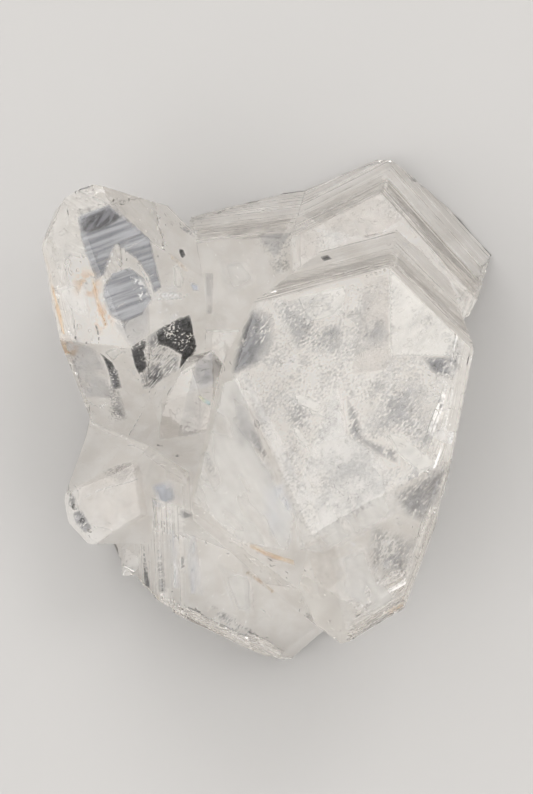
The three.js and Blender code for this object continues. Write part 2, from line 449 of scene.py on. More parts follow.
class Look(Enum):
    """The ways in which a sheet inside the quartz shows: real veils, stains and fractures, and painted
    highlights, reflections and shade.
    """

    SILVER_FRACTURE = SheetFinish((1, 1, 1, 1), (0.96, 0.97, 1, 1), 0.32, 1.0, open_gap=True, roughness=0.03)
    GROUND_CUT = SheetFinish((0.985, 0.97, 0.95, 1), (0.90, 0.875, 0.845, 1), 1.0, 0.93, 420.0)
    # Painted highlight: near-white patches where inner faces mirror the bright overhead light.
    BRIGHT_PANE = SheetFinish((1.0, 0.985, 0.955, 1), (0.96, 0.94, 0.905, 1), 0.75, 0.62, 300.0, 0.4, 2.5,
                              Facing(50, 5))
    # Painted reflection: a fainter, pale version of the bright patches, for faces that catch a soft sheen.
    PALE_PANE = SheetFinish((1.0, 0.99, 0.975, 1), (0.95, 0.94, 0.925, 1), 0.62, 0.40, 260.0, 0.4, 2.5,
                            Facing(-60, 5))
    BEIGE_PANE = SheetFinish((0.74, 0.67, 0.61, 1), (0.62, 0.56, 0.51, 1), 0.8, 0.22, 400.0, 0.4)
    # Painted shade: grey patches for faces that look darker because of how the light falls.
    GREY_PANE = SheetFinish((0.56, 0.56, 0.58, 1), (0.40, 0.40, 0.43, 1), 0.8, 0.26, 500.0, 0.4, 2.0)
    # Painted sheen: bluish reflected light on a few faces.
    BLUE_SHEEN = SheetFinish((0.92, 0.95, 1.0, 1), (0.72, 0.79, 0.94, 1), 0.6, 0.42, 600.0, 0.3, 4.0,
                             Facing(-100, -30))
    # Painted shade: soft dark speckle for the dark surroundings seen through cracks and faces; the quartz
    # itself is not smoky.
    SMOKE = SheetFinish((0.38, 0.38, 0.41, 1), (0.08, 0.08, 0.10, 1), 0.50, 0.42, 2600.0, 0.16, 2.5,
                        Facing(50, 5))
    # Painted shade: fine grey and dark speckle for the dark that small cracks show by bending light.
    FINE_MOTTLE = SheetFinish((0.55, 0.55, 0.56, 1), (0.16, 0.16, 0.18, 1), 0.36, 0.26, 2200.0, 0.2, 1.6,
                              Facing(50, 5))
    BAND_RISING = SheetFinish((0.84, 0.79, 0.74, 1), (0.36, 0.33, 0.31, 1), 0.8, 0.34, 1700.0, 0.3, 14.0,
                              Facing(14, 5))
    BAND_FALLING = SheetFinish((0.84, 0.79, 0.74, 1), (0.36, 0.33, 0.31, 1), 0.8, 0.34, 1700.0, 0.3, 14.0,
                               Facing(-42, -10))
    # Painted shade: dark strokes for the dark surroundings seen through the faces.
    DARK_STROKES = SheetFinish((0.28, 0.28, 0.31, 1), (0.04, 0.04, 0.05, 1), 0.62, 0.74, 2600.0, 0.07, 5.0,
                               Facing(55, 5))
    # Painted reflection: near-black patches for windows that mirror the dark room.
    BLACK_PANE = SheetFinish((0.09, 0.09, 0.095, 1), (0.006, 0.006, 0.007, 1), 0.69, 0.92, 2800.0, 0.07, 3.5,
                             Facing(70, -40))
    # A banded dark blue-grey window: painted reflection of the dark room.
    BANDED_PANE = SheetFinish((0.60, 0.62, 0.68, 1), (0.17, 0.185, 0.23, 1), 0.95, 0.60, 2300.0, 0.3, 18.0,
                              Facing(25, -12), roughness=0.3)
    BUBBLE_VEIL = SheetFinish((1, 1, 1, 1), (0.95, 0.95, 0.95, 1), 0.50, 1.0, 1900.0)
    # Dark lines along cracks: the cracks are real, their darkness is painted shade for the dark that a crack
    # shows by bending light.
    DARK_LINE = SheetFinish((0.16, 0.15, 0.15, 1), (0.02, 0.02, 0.02, 1), 0.56, 0.9, 1300.0)
    IRON_FILM = SheetFinish((0.95, 0.70, 0.42, 1), (0.80, 0.46, 0.18, 1), 0.62, 0.50, 700.0, 0.25, 3.0,
                            Facing(-75, -15))
    # Painted reflection: a small rainbow flash of the kind a thin gap shows in the light.
    RAINBOW_FLASH = SheetFinish((1.0, 0.93, 0.60, 1), (0.50, 0.80, 0.95, 1), 0.8, 0.6, 420.0, 0.1, 2.0,
                                Facing(-20, 0))


@dataclass(frozen=True)
class FloorFinish:
    """Plain pale matt floor with a very faint mottle."""

    light: tuple[float, float, float, float] = (0.45, 0.443, 0.437, 1.0)
    dark: tuple[float, float, float, float] = (0.43, 0.423, 0.417, 1.0)

    def make(self) -> bpy.types.Material:
        """Returns the floor's material."""
        material = bpy.data.materials.new("pale floor")
        material.use_nodes = True
        nodes = NodeTree(material.node_tree)
        place = nodes.add("ShaderNodeTexCoord").outputs["Object"]
        mottle = nodes.noise(place, 9.0, 4.0)
        shader = nodes.add("ShaderNodeBsdfPrincipled", Base_Color=nodes.mix(mottle, self.dark, self.light),
                           Roughness=0.65)
        nodes.add("ShaderNodeOutputMaterial", Surface=shader.outputs[0])
        return material


IRON_STAINS = (
    (millimetres(-40.5, 19, 30), 0.005),
    (millimetres(-40, 11, 30), 0.004),
    (millimetres(-37, 4, 30), 0.004),
    (millimetres(-33, 14, 38), 0.004),
    (millimetres(-31, 8, 37), 0.004),
    (millimetres(20, -43, 24), 0.007),
    (millimetres(26, -40, 24), 0.006),
    (millimetres(-1, -34, 24), 0.005),
    (millimetres(3, -38, 22), 0.004),
)


@dataclass(frozen=True)
class GrowthBand:
    """A crystal face ruled with growth lines that run parallel to its edge with a neighbour.

    Attributes:
        looks: the way the face looks.
        beside: the way the neighbour looks.
        through: a point of the face, in millimetres.
        spacing: mean distance between the lines, in millimetres.
        depth: mean depth of a line, in millimetres.
    """

    looks: Facing
    beside: Facing
    through: tuple[float, float, float]
    spacing: float = 0.36
    depth: float = 0.09


@dataclass
class Quartz:
    """The grown crystals as one closed body, with their fine surface.

    Attributes:
        bands: the ruled faces.
        weld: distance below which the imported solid's corners are one, in metres.
        flat_angle: facets closer than this are one crystal face, in radians.
        band_angle: how far a ledge's slope may lean from its face, in radians.
        band_reach: how far a ledge may lie from its face, in metres.
        band_length: how far the middle of a ruled facet may lie from the band's own place, in metres.
        cross: mean distance between places where a line's depth changes, in metres.
        edge_from: shortest edge that can wear or chip, in metres.
        edge_angle: how far its two faces lean apart at least, in radians.
        edge_above: height that one of its ends reaches at least, in metres.
        chip_count: number of nicks in the edges.
        chip_size: smallest and largest nick, in metres.
        chip_gap: least distance between nicks, in sizes of the largest.
        wear_from: shortest edge that is shaved, in metres.
        wear_gap: least distance between shaved edges, in metres.
        wear_step: distance between places where the wear's depth changes, in metres.
        wear_margin: length left sharp at each end, in metres.
        wear_depth: mean depth of the shaved strip, in metres.
        wear_reach: half the width of the shaving tool, in metres.
        shell_facet: largest facet of a shell-shaped break, in square metres.
        shell_angle: how far two facets of such a break lean apart at most, in radians.
        undercut: how far up a face looks at least to be etched in full, as the height of its normal.
        undercut_etched: how strongly the undercut faces, which stay smoother, are etched.
        seed: start of the steady random numbers.
    """

    bands: tuple[GrowthBand, ...]
    weld: float = 2e-6
    flat_angle: float = math.radians(0.6)
    band_angle: float = math.radians(30)
    band_reach: float = 0.0011
    band_length: float = 0.03
    cross: float = 0.005
    edge_from: float = 0.002
    edge_angle: float = math.radians(25)
    edge_above: float = 0.001
    chip_count: int = 150
    chip_size: tuple[float, float] = (0.00025, 0.0009)
    chip_gap: float = 2.6
    wear_from: float = 0.004
    wear_gap: float = 0.0009
    wear_step: float = 0.0012
    wear_margin: float = 0.0008
    wear_depth: float = 0.00006
    wear_reach: float = 0.00035
    shell_facet: float = 4e-6
    shell_angle: float = math.radians(24)
    undercut: float = 0.1
    undercut_etched: float = 0.15
    seed: int = 7

    def build(self, tree: BVHTree) -> bpy.types.Object:
        """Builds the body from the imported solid.

        Args:
            tree: the crystals' surface.

        Returns:
            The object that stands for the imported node.
        """
        rng = random.Random(self.seed)
        body = bmesh.new()
        body.from_mesh(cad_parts[CAD_NODE].data)
        bmesh.ops.remove_doubles(body, verts=body.verts, dist=self.weld)
        bmesh.ops.dissolve_limit(body, angle_limit=self.flat_angle, verts=body.verts, edges=body.edges)
        edges = self._long_edges(body)
        mark = body.faces.layers.int.new("band")
        for number, band in enumerate(self.bands, start=1):
            self._rule(body, mark, number, band, rng)
        for face in body.faces:
            face.smooth = False
            face.material_index = 0
        piece = new_piece("quartz_crystals", body)
        self._wear(piece, edges, rng)
        self._chip(piece, edges, rng, tree)
        self._shade(piece)
        etched = piece.data.attributes.new("etched", "FLOAT", "FACE")
        etched.data.foreach_set("value", [
            1.0 if face.normal.z > self.undercut else self.undercut_etched for face in piece.data.polygons
        ])
        return piece

    def _shade(self, piece: bpy.types.Object) -> None:
        """Smooths the shell-shaped breaks, whose facets are small, and keeps the crystal faces flat.

        Args:
            piece: the crystals' object.
        """
        body = bmesh.new()
        body.from_mesh(piece.data)
        mark = body.faces.layers.int.get("band")
        shell = {
            face for face in body.faces
            if face.calc_area() < self.shell_facet and not (mark and face[mark])
        }
        for edge in body.edges:
            edge.smooth = shell.issuperset(edge.link_faces) and edge.calc_face_angle(0.0) < self.shell_angle
        for face in body.faces:
            face.smooth = face in shell
        body.to_mesh(piece.data)
        body.free()

    def _long_edges(self, body: bmesh.types.BMesh) -> list[tuple[Vector, Vector, Vector]]:
        """Finds the convex edges that can wear or chip.

        Args:
            body: the mesh.

        Returns:
            Each edge's start, end and way out.
        """
        found = []
        for edge in body.edges:
            if edge.calc_length() < self.edge_from or not edge.is_convex:
                continue
            if edge.calc_face_angle(0.0) < self.edge_angle:
                continue
            start, end = (corner.co.copy() for corner in edge.verts)
            if max(start.z, end.z) < self.edge_above:
                continue
            outward = (edge.link_faces[0].normal + edge.link_faces[1].normal).normalized()
            found.append((start, end, outward))
        return found

    def _rule(self, body: bmesh.types.BMesh, mark: bmesh.types.BMLayerItem, number: int,
              band: GrowthBand, rng: random.Random) -> None:
        """Rules one band: cuts it along its growth lines and sinks every other line.

        Args:
            body: the mesh.
            mark: the face layer that holds the number of a face's band.
            number: this band's number.
            band: the band.
            rng: the steady random numbers.
        """
        looks = band.looks.vector()
        along = looks.cross(band.beside.vector()).normalized()
        uphill = along.cross(looks)
        through = millimetres(*band.through)
        faces = [
            face for face in body.faces
            if face.normal.angle(looks) < self.band_angle
            and abs((face.calc_center_median() - through).dot(looks)) < self.band_reach
            and (face.calc_center_median() - through).length < self.band_length
            and face[mark] == 0
        ]
        if not faces:
            log.warning("no face found for band %d", number)
            return
        for face in faces:
            face[mark] = number
        lines = self._cut(body, mark, number, uphill, band.spacing * MM, rng)
        stops = self._cut(body, mark, number, along, self.cross, rng)
        depth = {
            (line, stop): rng.random() ** 2 for line in range(len(lines)) for stop in range(len(stops))
        }
        for corner in self._corners(body, mark, number):
            if any(face[mark] != number for face in corner.link_faces):
                continue
            line = nearest(lines, corner.co.dot(uphill))
            stop = nearest(stops, corner.co.dot(along))
            if line is None or stop is None or line % 2:
                continue
            corner.co -= looks * (band.depth * MM * (0.4 + 1.6 * depth[line, stop]))
            corner.co.z = max(corner.co.z, 0.0)

    @staticmethod
    def _corners(body: bmesh.types.BMesh, mark: bmesh.types.BMLayerItem, number: int
                 ) -> list[bmesh.types.BMVert]:
        """Collects the corners of one band's faces.

        Args:
            body: the mesh.
            mark: the face layer of band numbers.
            number: the band.

        Returns:
            The corners, each once.
        """
        corners = {corner: None for face in body.faces if face[mark] == number for corner in face.verts}
        return list(corners)

    def _cut(self, body: bmesh.types.BMesh, mark: bmesh.types.BMLayerItem, number: int,
             across: Vector, spacing: float, rng: random.Random) -> list[float]:
        """Cuts one band's faces by planes at uneven distances.

        Args:
            body: the mesh.
            mark: the face layer of band numbers.
            number: the band.
            across: the way the planes look.
            spacing: their mean distance.
            rng: the steady random numbers.

        Returns:
            The planes' places along across, in rising order.
        """
        reach = [corner.co.dot(across) for corner in self._corners(body, mark, number)]
        places = []
        place = min(reach) + spacing * rng.uniform(0.3, 1.0)
        while place < max(reach):
            places.append(place)
            place += spacing * rng.uniform(0.4, 1.6)
        for place in places:
            faces = [face for face in body.faces if face[mark] == number and straddles(face, across, place)]
            edges = {edge: None for face in faces for edge in face.edges}
            corners = {corner: None for face in faces for corner in face.verts}
            bmesh.ops.bisect_plane(body, geom=[*faces, *edges, *corners], dist=CUT_TOLERANCE,
                                   plane_co=across * place, plane_no=across)
        return places

    def _wear(self, piece: bpy.types.Object, edges: list[tuple[Vector, Vector, Vector]],
              rng: random.Random) -> None:
        """Shaves the long edges to narrow, uneven strips, as handling wears them.

        Args:
            piece: the crystals' object.
            edges: the edges, as start, end and the way out.
            rng: the steady random numbers.
        """
        strips = bmesh.new()
        shaved: list[Vector] = []
        for start, end, outward in sorted(edges, key=lambda edge: (edge[0] - edge[1]).length, reverse=True):
            length = (end - start).length
            probes = [start.lerp(end, share) for share in (0.2, 0.35, 0.5, 0.65, 0.8)]
            if length < self.wear_from or any(
                (probe - other).length < self.wear_gap for probe in probes for other in shaved
            ):
                continue
            count = max(4, round(length / self.wear_step))
            shaved += [start.lerp(end, number / count) for number in range(1, count)]
            across = (end - start).cross(outward).normalized()
            margin = self.wear_margin / length
            rings = []
            for number in range(count + 1):
                share = number / count
                spot = start.lerp(end, margin + (1 - 2 * margin) * share)
                taper = min(1.0, 4 * min(share, 1 - share))
                low = outward * -(self.wear_depth * taper * rng.uniform(0.4, 1.6) - 0.2 * self.wear_depth)
                high = outward * self.wear_reach
                corners = (low - across * self.wear_reach, low + across * self.wear_reach,
                           high + across * self.wear_reach, high - across * self.wear_reach)
                rings.append([strips.verts.new(spot + corner) for corner in corners])
            for ring, after in zip(rings, rings[1:]):
                for i in range(4):
                    j = (i + 1) % 4
                    strips.faces.new([ring[i], ring[j], after[j], after[i]])
            strips.faces.new(rings[0][::-1])
            strips.faces.new(rings[-1])
        bmesh.ops.recalc_face_normals(strips, faces=strips.faces)
        bmesh.ops.triangulate(strips, faces=strips.faces)
        cut_away(piece, strips)

    def _chip(self, piece: bpy.types.Object, edges: list[tuple[Vector, Vector, Vector]],
              rng: random.Random, tree: BVHTree) -> None:
        """Nicks the long edges with small shell-shaped chips.

        Args:
            piece: the crystals' object.
            edges: the edges, as start, end and the way out.
            rng: the steady random numbers.
            tree: the crystals' surface.
        """
        chips = bmesh.new()
        for across, up, size in NICKS:
            spot, normal, _, _ = tree.ray_cast(SIGHT.eye(), SIGHT.ray(across, up))
            bmesh.ops.create_icosphere(chips, subdivisions=2, radius=size * MM,
                                       matrix=Matrix.Translation(spot + normal * size * MM * 0.5))
        weights = [(end - start).length for start, end, _ in edges]
        taken: list[Vector] = []
        for start, end, outward in rng.choices(edges, weights=weights, k=self.chip_count):
            size = self.chip_size[0] + (self.chip_size[1] - self.chip_size[0]) * rng.random() ** 2
            centre = start.lerp(end, rng.uniform(0.05, 0.95)) + outward * size * rng.uniform(0.35, 0.7)
            if any((centre - other).length < self.chip_gap * self.chip_size[1] for other in taken):
                continue
            taken.append(centre)
            turn = Matrix.Rotation(rng.uniform(0, math.tau), 4, Vector([rng.gauss(0, 1) for _ in range(3)]))
            stretch = Matrix.Diagonal((size * rng.uniform(0.8, 1.7), size, size * rng.uniform(0.6, 1.0), 1.0))
            bmesh.ops.create_icosphere(chips, subdivisions=2, radius=1.0,
                                       matrix=Matrix.Translation(centre) @ turn @ stretch)
        cut_away(piece, chips)
        log.info("%d chips", len(taken))


def straddles(face: bmesh.types.BMFace, across: Vector, place: float) -> bool:
    """Tells whether a plane passes through a face.

    Args:
        face: the face.
        across: the way the plane looks.
        place: its place along that way.

    Returns:
        True if the face has corners on both sides.
    """
    reach = [corner.co.dot(across) for corner in face.verts]
    return min(reach) < place < max(reach)


def nearest(places: list[float], value: float) -> int | None:
    """Finds the place that a value lies on.

    Args:
        places: the places.
        value: the value.

    Returns:
        The place's number, or None.
    """
    for number, place in enumerate(places):
        if abs(place - value) < SAME_LINE:
            return number
    return None


def new_piece(name: str, body: bmesh.types.BMesh) -> bpy.types.Object:
    """Puts a finished mesh in an object of its own.

    Args:
        name: the object's name.
        body: the mesh, which is freed.

    Returns:
        The object.
    """
    mesh = bpy.data.meshes.new(name)
    body.to_mesh(mesh)
    body.free()
    piece = bpy.data.objects.new(name, mesh)
    bpy.context.scene.collection.objects.link(piece)
    return piece


def cut_away(piece: bpy.types.Object, shape: bmesh.types.BMesh) -> None:
    """Cuts a closed shape out of an object.

    Args:
        piece: the object.
        shape: what to cut away, which is freed.
    """
    cutter = new_piece("cutter", shape)
    cut = piece.modifiers.new("cut", "BOOLEAN")
    cut.operation = "DIFFERENCE"
    cut.solver = "EXACT"
    cut.object = cutter
    apply_modifiers(piece)
    bpy.data.objects.remove(cutter)


def apply_modifiers(piece: bpy.types.Object) -> None:
    """Applies an object's modifiers to its mesh.

    Args:
        piece: the object.
    """
    graph = bpy.context.evaluated_depsgraph_get()
    mesh = bpy.data.meshes.new_from_object(piece.evaluated_get(graph))
    piece.modifiers.clear()
    old = piece.data
    piece.data = mesh
    bpy.data.meshes.remove(old)
    mesh.name = piece.name


@dataclass(frozen=True)
class Sheet:
    """A thin sheet inside the quartz: a fracture, a veil, a growth zone, a film in a crack, or a patch of
    painted highlight, reflection or shade.

    Attributes:
        name: the piece's name.
        look: how it shows.
        soft: width over which its edge fades, in millimetres.
        ripple: height of its waves, in millimetres.
        step: width of its mesh cells, in millimetres.
        ragged: how far its outline strays, in millimetres.
        thickness: in millimetres.
        cover: how far below the crystals' surface it stays, in millimetres.
    """

    name: str
    look: Look
    soft: float = 0.25
    ripple: float = 0.0
    step: float = 0.5
    ragged: float = 0.08
    thickness: float = 0.04
    cover: float = 0.2

    def corners(self, tree: BVHTree) -> list[Vector]:
        """Returns the outline's corners in millimetres; each kind of sheet has its own way.

        Args:
            tree: the crystals' surface.

        Returns:
            The corners in turn.
        """
        raise NotImplementedError

    def build(self, tree: BVHTree) -> bpy.types.Object | None:
        """Builds the part of the sheet that lies inside the crystals.

        Args:
            tree: the crystals' surface.

        Returns:
            The sheet, or None if nothing of it lies inside.
        """
        outline = self.corners(tree)
        middle = sum(outline, Vector()) / len(outline)
        turns = zip(outline, outline[1:] + outline[:1])
        looks = sum(((a - middle).cross(b - middle) for a, b in turns), Vector()).normalized()
        looks = looks if looks.z > 0 else -looks
        side = (outline[1] - outline[0]).normalized()
        side = (side - looks * side.dot(looks)).normalized()
        place = Matrix((side, looks.cross(side), looks)).transposed().to_4x4()
        place.translation = middle
        flat = self._strayed([place.inverted() @ corner for corner in outline])
        sheet = bmesh.new()
        fade = sheet.verts.layers.float.new("fade")
        sheet.faces.new([sheet.verts.new((corner.x, corner.y, 0)) for corner in flat])
        self._cross_cut(sheet)
        shallow = []
        for corner in sheet.verts:
            shown = min(1.0, max(0.0, distance_within(flat, corner.co) / self.soft + LEAST_FADE))
            corner.co.z = self.ripple * noise.fractal(corner.co * RIPPLE_SCALE + middle, 1.0, 2.0, 3)
            corner.co = (place @ corner.co) * MM
            depth = depth_inside(tree, corner.co) / MM - self.cover
            corner[fade] = shown * min(1.0, max(0.0, depth / FADE_AT_WALL))
            if depth <= 0:
                shallow.append(corner)
        bmesh.ops.delete(sheet, geom=shallow, context="VERTS")
        if not sheet.faces:
            log.warning("%s lies outside the crystals", self.name)
            sheet.free()
            return None
        self._thicken(sheet, fade)
        if self.look.value.open_gap:
            bmesh.ops.reverse_faces(sheet, faces=sheet.faces)
        for face in sheet.faces:
            face.smooth = True
        return new_piece(self.name, sheet)

    def _strayed(self, flat: list[Vector]) -> list[Vector]:
        """Splits up the flat outline's sides and makes them a little uneven.

        Args:
            flat: the outline's corners.

        Returns:
            The new corners.
        """
        points = []
        for start, end in zip(flat, flat[1:] + flat[:1]):
            count = max(1, round((end - start).length / OUTLINE_STEP))
            for number in range(count):
                point = start.lerp(end, number / count)
                shift = noise.noise_vector(point * STRAY_SCALE + Vector((0, 0, len(self.name))))
                points.append(Vector((point.x + shift.x * self.ragged, point.y + shift.y * self.ragged, 0)))
        return points

    def _cross_cut(self, sheet: bmesh.types.BMesh) -> None:
        """Cuts the flat sheet into small cells along both of its ways.

        Args:
            sheet: the sheet's mesh.
        """
        for across in (Vector((1, 0, 0)), Vector((0, 1, 0))):
            reach = [corner.co.dot(across) for corner in sheet.verts]
            for number in range(1, int((max(reach) - min(reach)) / self.step) + 1):
                bmesh.ops.bisect_plane(sheet, geom=[*sheet.faces, *sheet.edges, *sheet.verts], dist=1e-4,
                                       plane_co=across * (min(reach) + number * self.step), plane_no=across)
        bmesh.ops.triangulate(sheet, faces=sheet.faces)

    def _thicken(self, sheet: bmesh.types.BMesh, fade: bmesh.types.BMLayerItem) -> None:
        """Gives the sheet its thickness and a closed rim.

        Args:
            sheet: the sheet's mesh.
            fade: the corner layer that says how fully it shows.
        """
        loose = [corner for corner in sheet.verts if not corner.link_faces]
        bmesh.ops.delete(sheet, geom=loose, context="VERTS")
        front = list(sheet.faces)
        sheet.normal_update()
        twin = {}
        for corner in list(sheet.verts):
            below = sheet.verts.new(corner.co - corner.normal * self.thickness * MM)
            below[fade] = corner[fade]
            twin[corner] = below
        rim = [edge for edge in sheet.edges if edge.is_boundary]
        loops = [(edge.link_loops[0].vert, edge.link_loops[0].link_loop_next.vert) for edge in rim]
        for face in front:
            sheet.faces.new([twin[corner] for corner in reversed(face.verts)])
        for start, end in loops:
            sheet.faces.new([end, start, twin[start], twin[end]])
        bmesh.ops.recalc_face_normals(sheet, faces=sheet.faces)


@dataclass(frozen=True)
class CutFilm(Sheet):
    """The white ground film over the flat cut, which follows the crystals' own outline there.

    Attributes:
        height: above the flat cut, in millimetres.
        weld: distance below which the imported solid's corners are one, in metres.
    """

    height: float = 0.5
    weld: float = 1e-6

    def build(self, tree: BVHTree) -> bpy.types.Object:
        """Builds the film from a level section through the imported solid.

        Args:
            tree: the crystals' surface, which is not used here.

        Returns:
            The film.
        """
        film = bmesh.new()
        fade = film.verts.layers.float.new("fade")
        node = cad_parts[CAD_NODE]
        film.from_mesh(node.data)
        film.transform(node.matrix_world)
        bmesh.ops.remove_doubles(film, verts=film.verts, dist=self.weld)
        bmesh.ops.bisect_plane(film, geom=[*film.faces, *film.edges, *film.verts], dist=CUT_TOLERANCE,
                               plane_co=(0, 0, self.height * MM), plane_no=(0, 0, 1),
                               clear_inner=True, clear_outer=True)
        bmesh.ops.triangle_fill(film, edges=film.edges, use_beauty=True, normal=(0, 0, 1))
        rim = bmesh.ops.inset_region(film, faces=film.faces, thickness=self.cover * MM,
                                     use_boundary=True, use_even_offset=True)["faces"]
        bmesh.ops.delete(film, geom=rim, context="FACES")
        for corner in film.verts:
            corner[fade] = 1.0
        self._thicken(film, fade)
        return new_piece(self.name, film)


@dataclass(frozen=True)
class DeepSheet(Sheet):
    """A sheet deep inside, placed by its corners.

    Attributes:
        places: the corners, in millimetres.
    """

    places: tuple[tuple[float, float, float], ...] = ()

    def corners(self, tree: BVHTree) -> list[Vector]:
        """Returns the corners as vectors."""
        return [Vector(place) for place in self.places]


@dataclass(frozen=True)
class SeenSheet(Sheet):
    """A sheet close behind a crystal face, placed by how it shows through that face.

    Attributes:
        seen: the outline in the picture, in millimetres right of and above the sight's target.
        depth: how far along the bent ray it lies below the face, in millimetres.
    """

    seen: tuple[tuple[float, float], ...] = ()
    depth: float = 1.2

    def corners(self, tree: BVHTree) -> list[Vector]:
        """Returns the corners of the outline, on a plane behind the face that it is seen through.

        Args:
            tree: the crystals' surface.

        Returns:
            The corners in turn, in millimetres.
        """
        eye = SIGHT.eye()
        across = sum(place[0] for place in self.seen) / len(self.seen)
        up = sum(place[1] for place in self.seen) / len(self.seen)
        middle, normal, _, _ = tree.ray_cast(eye, SIGHT.ray(across, up))
        below = normal.dot(bent(SIGHT.ray(across, up), normal, QUARTZ_IOR)) * self.depth * MM
        corners = []
        for place in self.seen:
            way = SIGHT.ray(*place)
            entry = eye + way * ((middle - eye).dot(normal) / way.dot(normal))
            inner = bent(way, normal, QUARTZ_IOR)
            corners.append((entry + inner * (below / inner.dot(normal))) / MM)
        return corners


def ribbon(path: tuple[tuple[float, float], ...], width: float) -> tuple[tuple[float, float], ...]:
    """Returns the outline of a narrow strip along a path, for a crack or a painted line that is seen edge on.

    Args:
        path: places along its middle, in millimetres.
        width: of the strip where it is widest, in millimetres.

    Returns:
        The outline's corners.
    """
    left, right = [], []
    for number, (x, y) in enumerate(path):
        before = path[max(0, number - 1)]
        after = path[min(len(path) - 1, number + 1)]
        along = Vector((after[0] - before[0], after[1] - before[1])).normalized()
        end = number in (0, len(path) - 1)
        half = width * (0.15 if end else 0.5)
        left.append((x - along.y * half, y + along.x * half))
        right.append((x + along.y * half, y - along.x * half))
    return (*left, *reversed(right))


def crack(name: str, look: Look, width: float, depth: float, path: tuple[tuple[float, float], ...]
          ) -> SeenSheet:
    """Returns a narrow strip close behind a face: a crack, or a line of painted highlight or painted shade.

    Args:
        name: the piece's name.
        look: how it shows.
        width: of the crack where it is widest, in millimetres.
        depth: how far it lies below the face, in millimetres.
        path: places along its middle in the picture, in millimetres.

    Returns:
        The crack.
    """
    return SeenSheet(name, look, step=0.3, soft=0.1, depth=depth, seen=ribbon(path, width))


def distance_within(outline: list[Vector], point: Vector) -> float:
    """Returns how far a flat point lies within a closed outline, below 0 outside.

    Args:
        outline: the corners in turn.
        point: the point.

    Returns:
        The distance to the nearest side, in the outline's unit.
    """
    inside = False
    least = math.inf
    for a, b in zip(outline, outline[1:] + outline[:1]):
        if (a.y > point.y) != (b.y > point.y) and point.x < (b.x - a.x) * (point.y - a.y) / (b.y - a.y) + a.x:
            inside = not inside
        along = b - a
        share = min(1.0, max(0.0, (point - a).dot(along) / along.length_squared))
        least = min(least, (point - a - along * share).length)
    return least if inside else -least


def depth_inside(tree: BVHTree, point: Vector) -> float:
    """Returns how far a point lies under the surface, in metres, below 0 outside.

    Args:
        tree: the surface.
        point: the point.

    Returns:
        The distance to the nearest surface, with the sign from the surfaces that two rays cross.
    """
    reach = tree.find_nearest(point)[3]
    for probe in PROBE_WAYS:
        way = Vector(probe).normalized()
        spot = tree.ray_cast(point, way)[0]
        crossings = 0
        while spot is not None:
            crossings += 1
            spot = tree.ray_cast(spot + way * RAY_STEP, way)[0]
        if crossings % 2 == 0:
            return -reach
    return reach


@dataclass
class Cluster:
    """The whole quartz cluster: the crystals and the sheets inside them."""

    quartz: Quartz
    sheets: tuple[Sheet, ...]
    finish: QuartzFinish = field(default_factory=QuartzFinish)

    def build(self, effects: SharedEffects) -> list[bpy.types.Object]:
        """Builds and dresses every piece.

        Args:
            effects: the shared node groups.

        Returns:
            The pieces.
        """
        tree = BVHTree.FromObject(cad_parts[CAD_NODE], bpy.context.evaluated_depsgraph_get())
        crystals = self.quartz.build(tree)
        crystals.data.materials.clear()
        crystals.data.materials.append(self.finish.make(effects))
        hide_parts(CAD_NODE)
        pieces = [crystals]
        finishes = {look: look.value.make(look.name.lower().replace("_", " "), effects) for look in Look}
        for sheet in self.sheets:
            piece = sheet.build(tree)
            if piece is not None:
                piece.data.materials.append(finishes[sheet.look])
                pieces.append(piece)
        for piece in pieces:
            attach(piece, BODY)
            log.info("%s: %d faces", piece.name, len(piece.data.polygons))
        return pieces


@dataclass
class StudioFloor:
    """The plain pale floor that the flat cut rests on.

    Attributes:
        half_width: in metres.
        gap: distance under the cut, in metres.
    """

    half_width: float = 1.6
    gap: float = 0.0003

    def build(self) -> bpy.types.Object:
        """Returns the floor."""
        sheet = bmesh.new()
        bmesh.ops.create_grid(sheet, x_segments=8, y_segments=8, size=self.half_width)
        floor = new_piece("floor", sheet)
        floor.location.z = -self.gap
        floor.data.materials.append(FloorFinish().make())
        return floor


@dataclass(frozen=True)
class Softbox:
    """A soft light in the room, as a round patch of the sky.

    Attributes:
        towards: where it is.
        half_angle: its half width, in degrees.
        brightness: what it adds, below 0 for a dark card.
    """

    towards: Facing
    half_angle: float
    brightness: float


@dataclass
class StudioLight:
    """Soft studio light from all round, brighter above, with softboxes and dark cards.

    Attributes:
        boxes: the softboxes and dark cards.
        level: brightness at the horizon and below.
        overhead: brightness straight above.
        least: brightness that no dark card goes below.
        edge: how softly a patch ends, as a share of its half width.
    """

    boxes: tuple[Softbox, ...]
    level: float = 0.99
    overhead: float = 1.33
    least: float = 0.012
    edge: float = 0.2

    def build(self) -> bpy.types.World:
        """Returns the world that gives the light."""
        world = bpy.data.worlds.new("soft studio")
        world.use_nodes = True
        world.cycles.sampling_method = "NONE"
        bpy.context.scene.world = world
        nodes = NodeTree(world.node_tree)
        way = nodes.add("ShaderNodeTexCoord").outputs["Generated"]
        height = nodes.add("ShaderNodeSeparateXYZ", Vector=way).outputs["Z"]
        total = nodes.ramp(height, 0.0, 0.95, self.level, self.overhead)
        for box in self.boxes:
            share = nodes.add("ShaderNodeVectorMath", {"operation": "DOT_PRODUCT"}, i0=way,
                              i1=box.towards.vector()).outputs["Value"]
            inner = math.cos(math.radians(box.half_angle * (1 - self.edge)))
            outer = math.cos(math.radians(box.half_angle * (1 + self.edge)))
            patch = nodes.ramp(share, outer, inner, 0.0, box.brightness)
            total = nodes.math("MAXIMUM", nodes.math("ADD", total, patch), self.least)
        light = nodes.add("ShaderNodeBackground", Color=(1.0, 0.985, 0.965, 1.0), Strength=total)
        nodes.add("ShaderNodeOutputWorld", Surface=light.outputs[0])
        return world


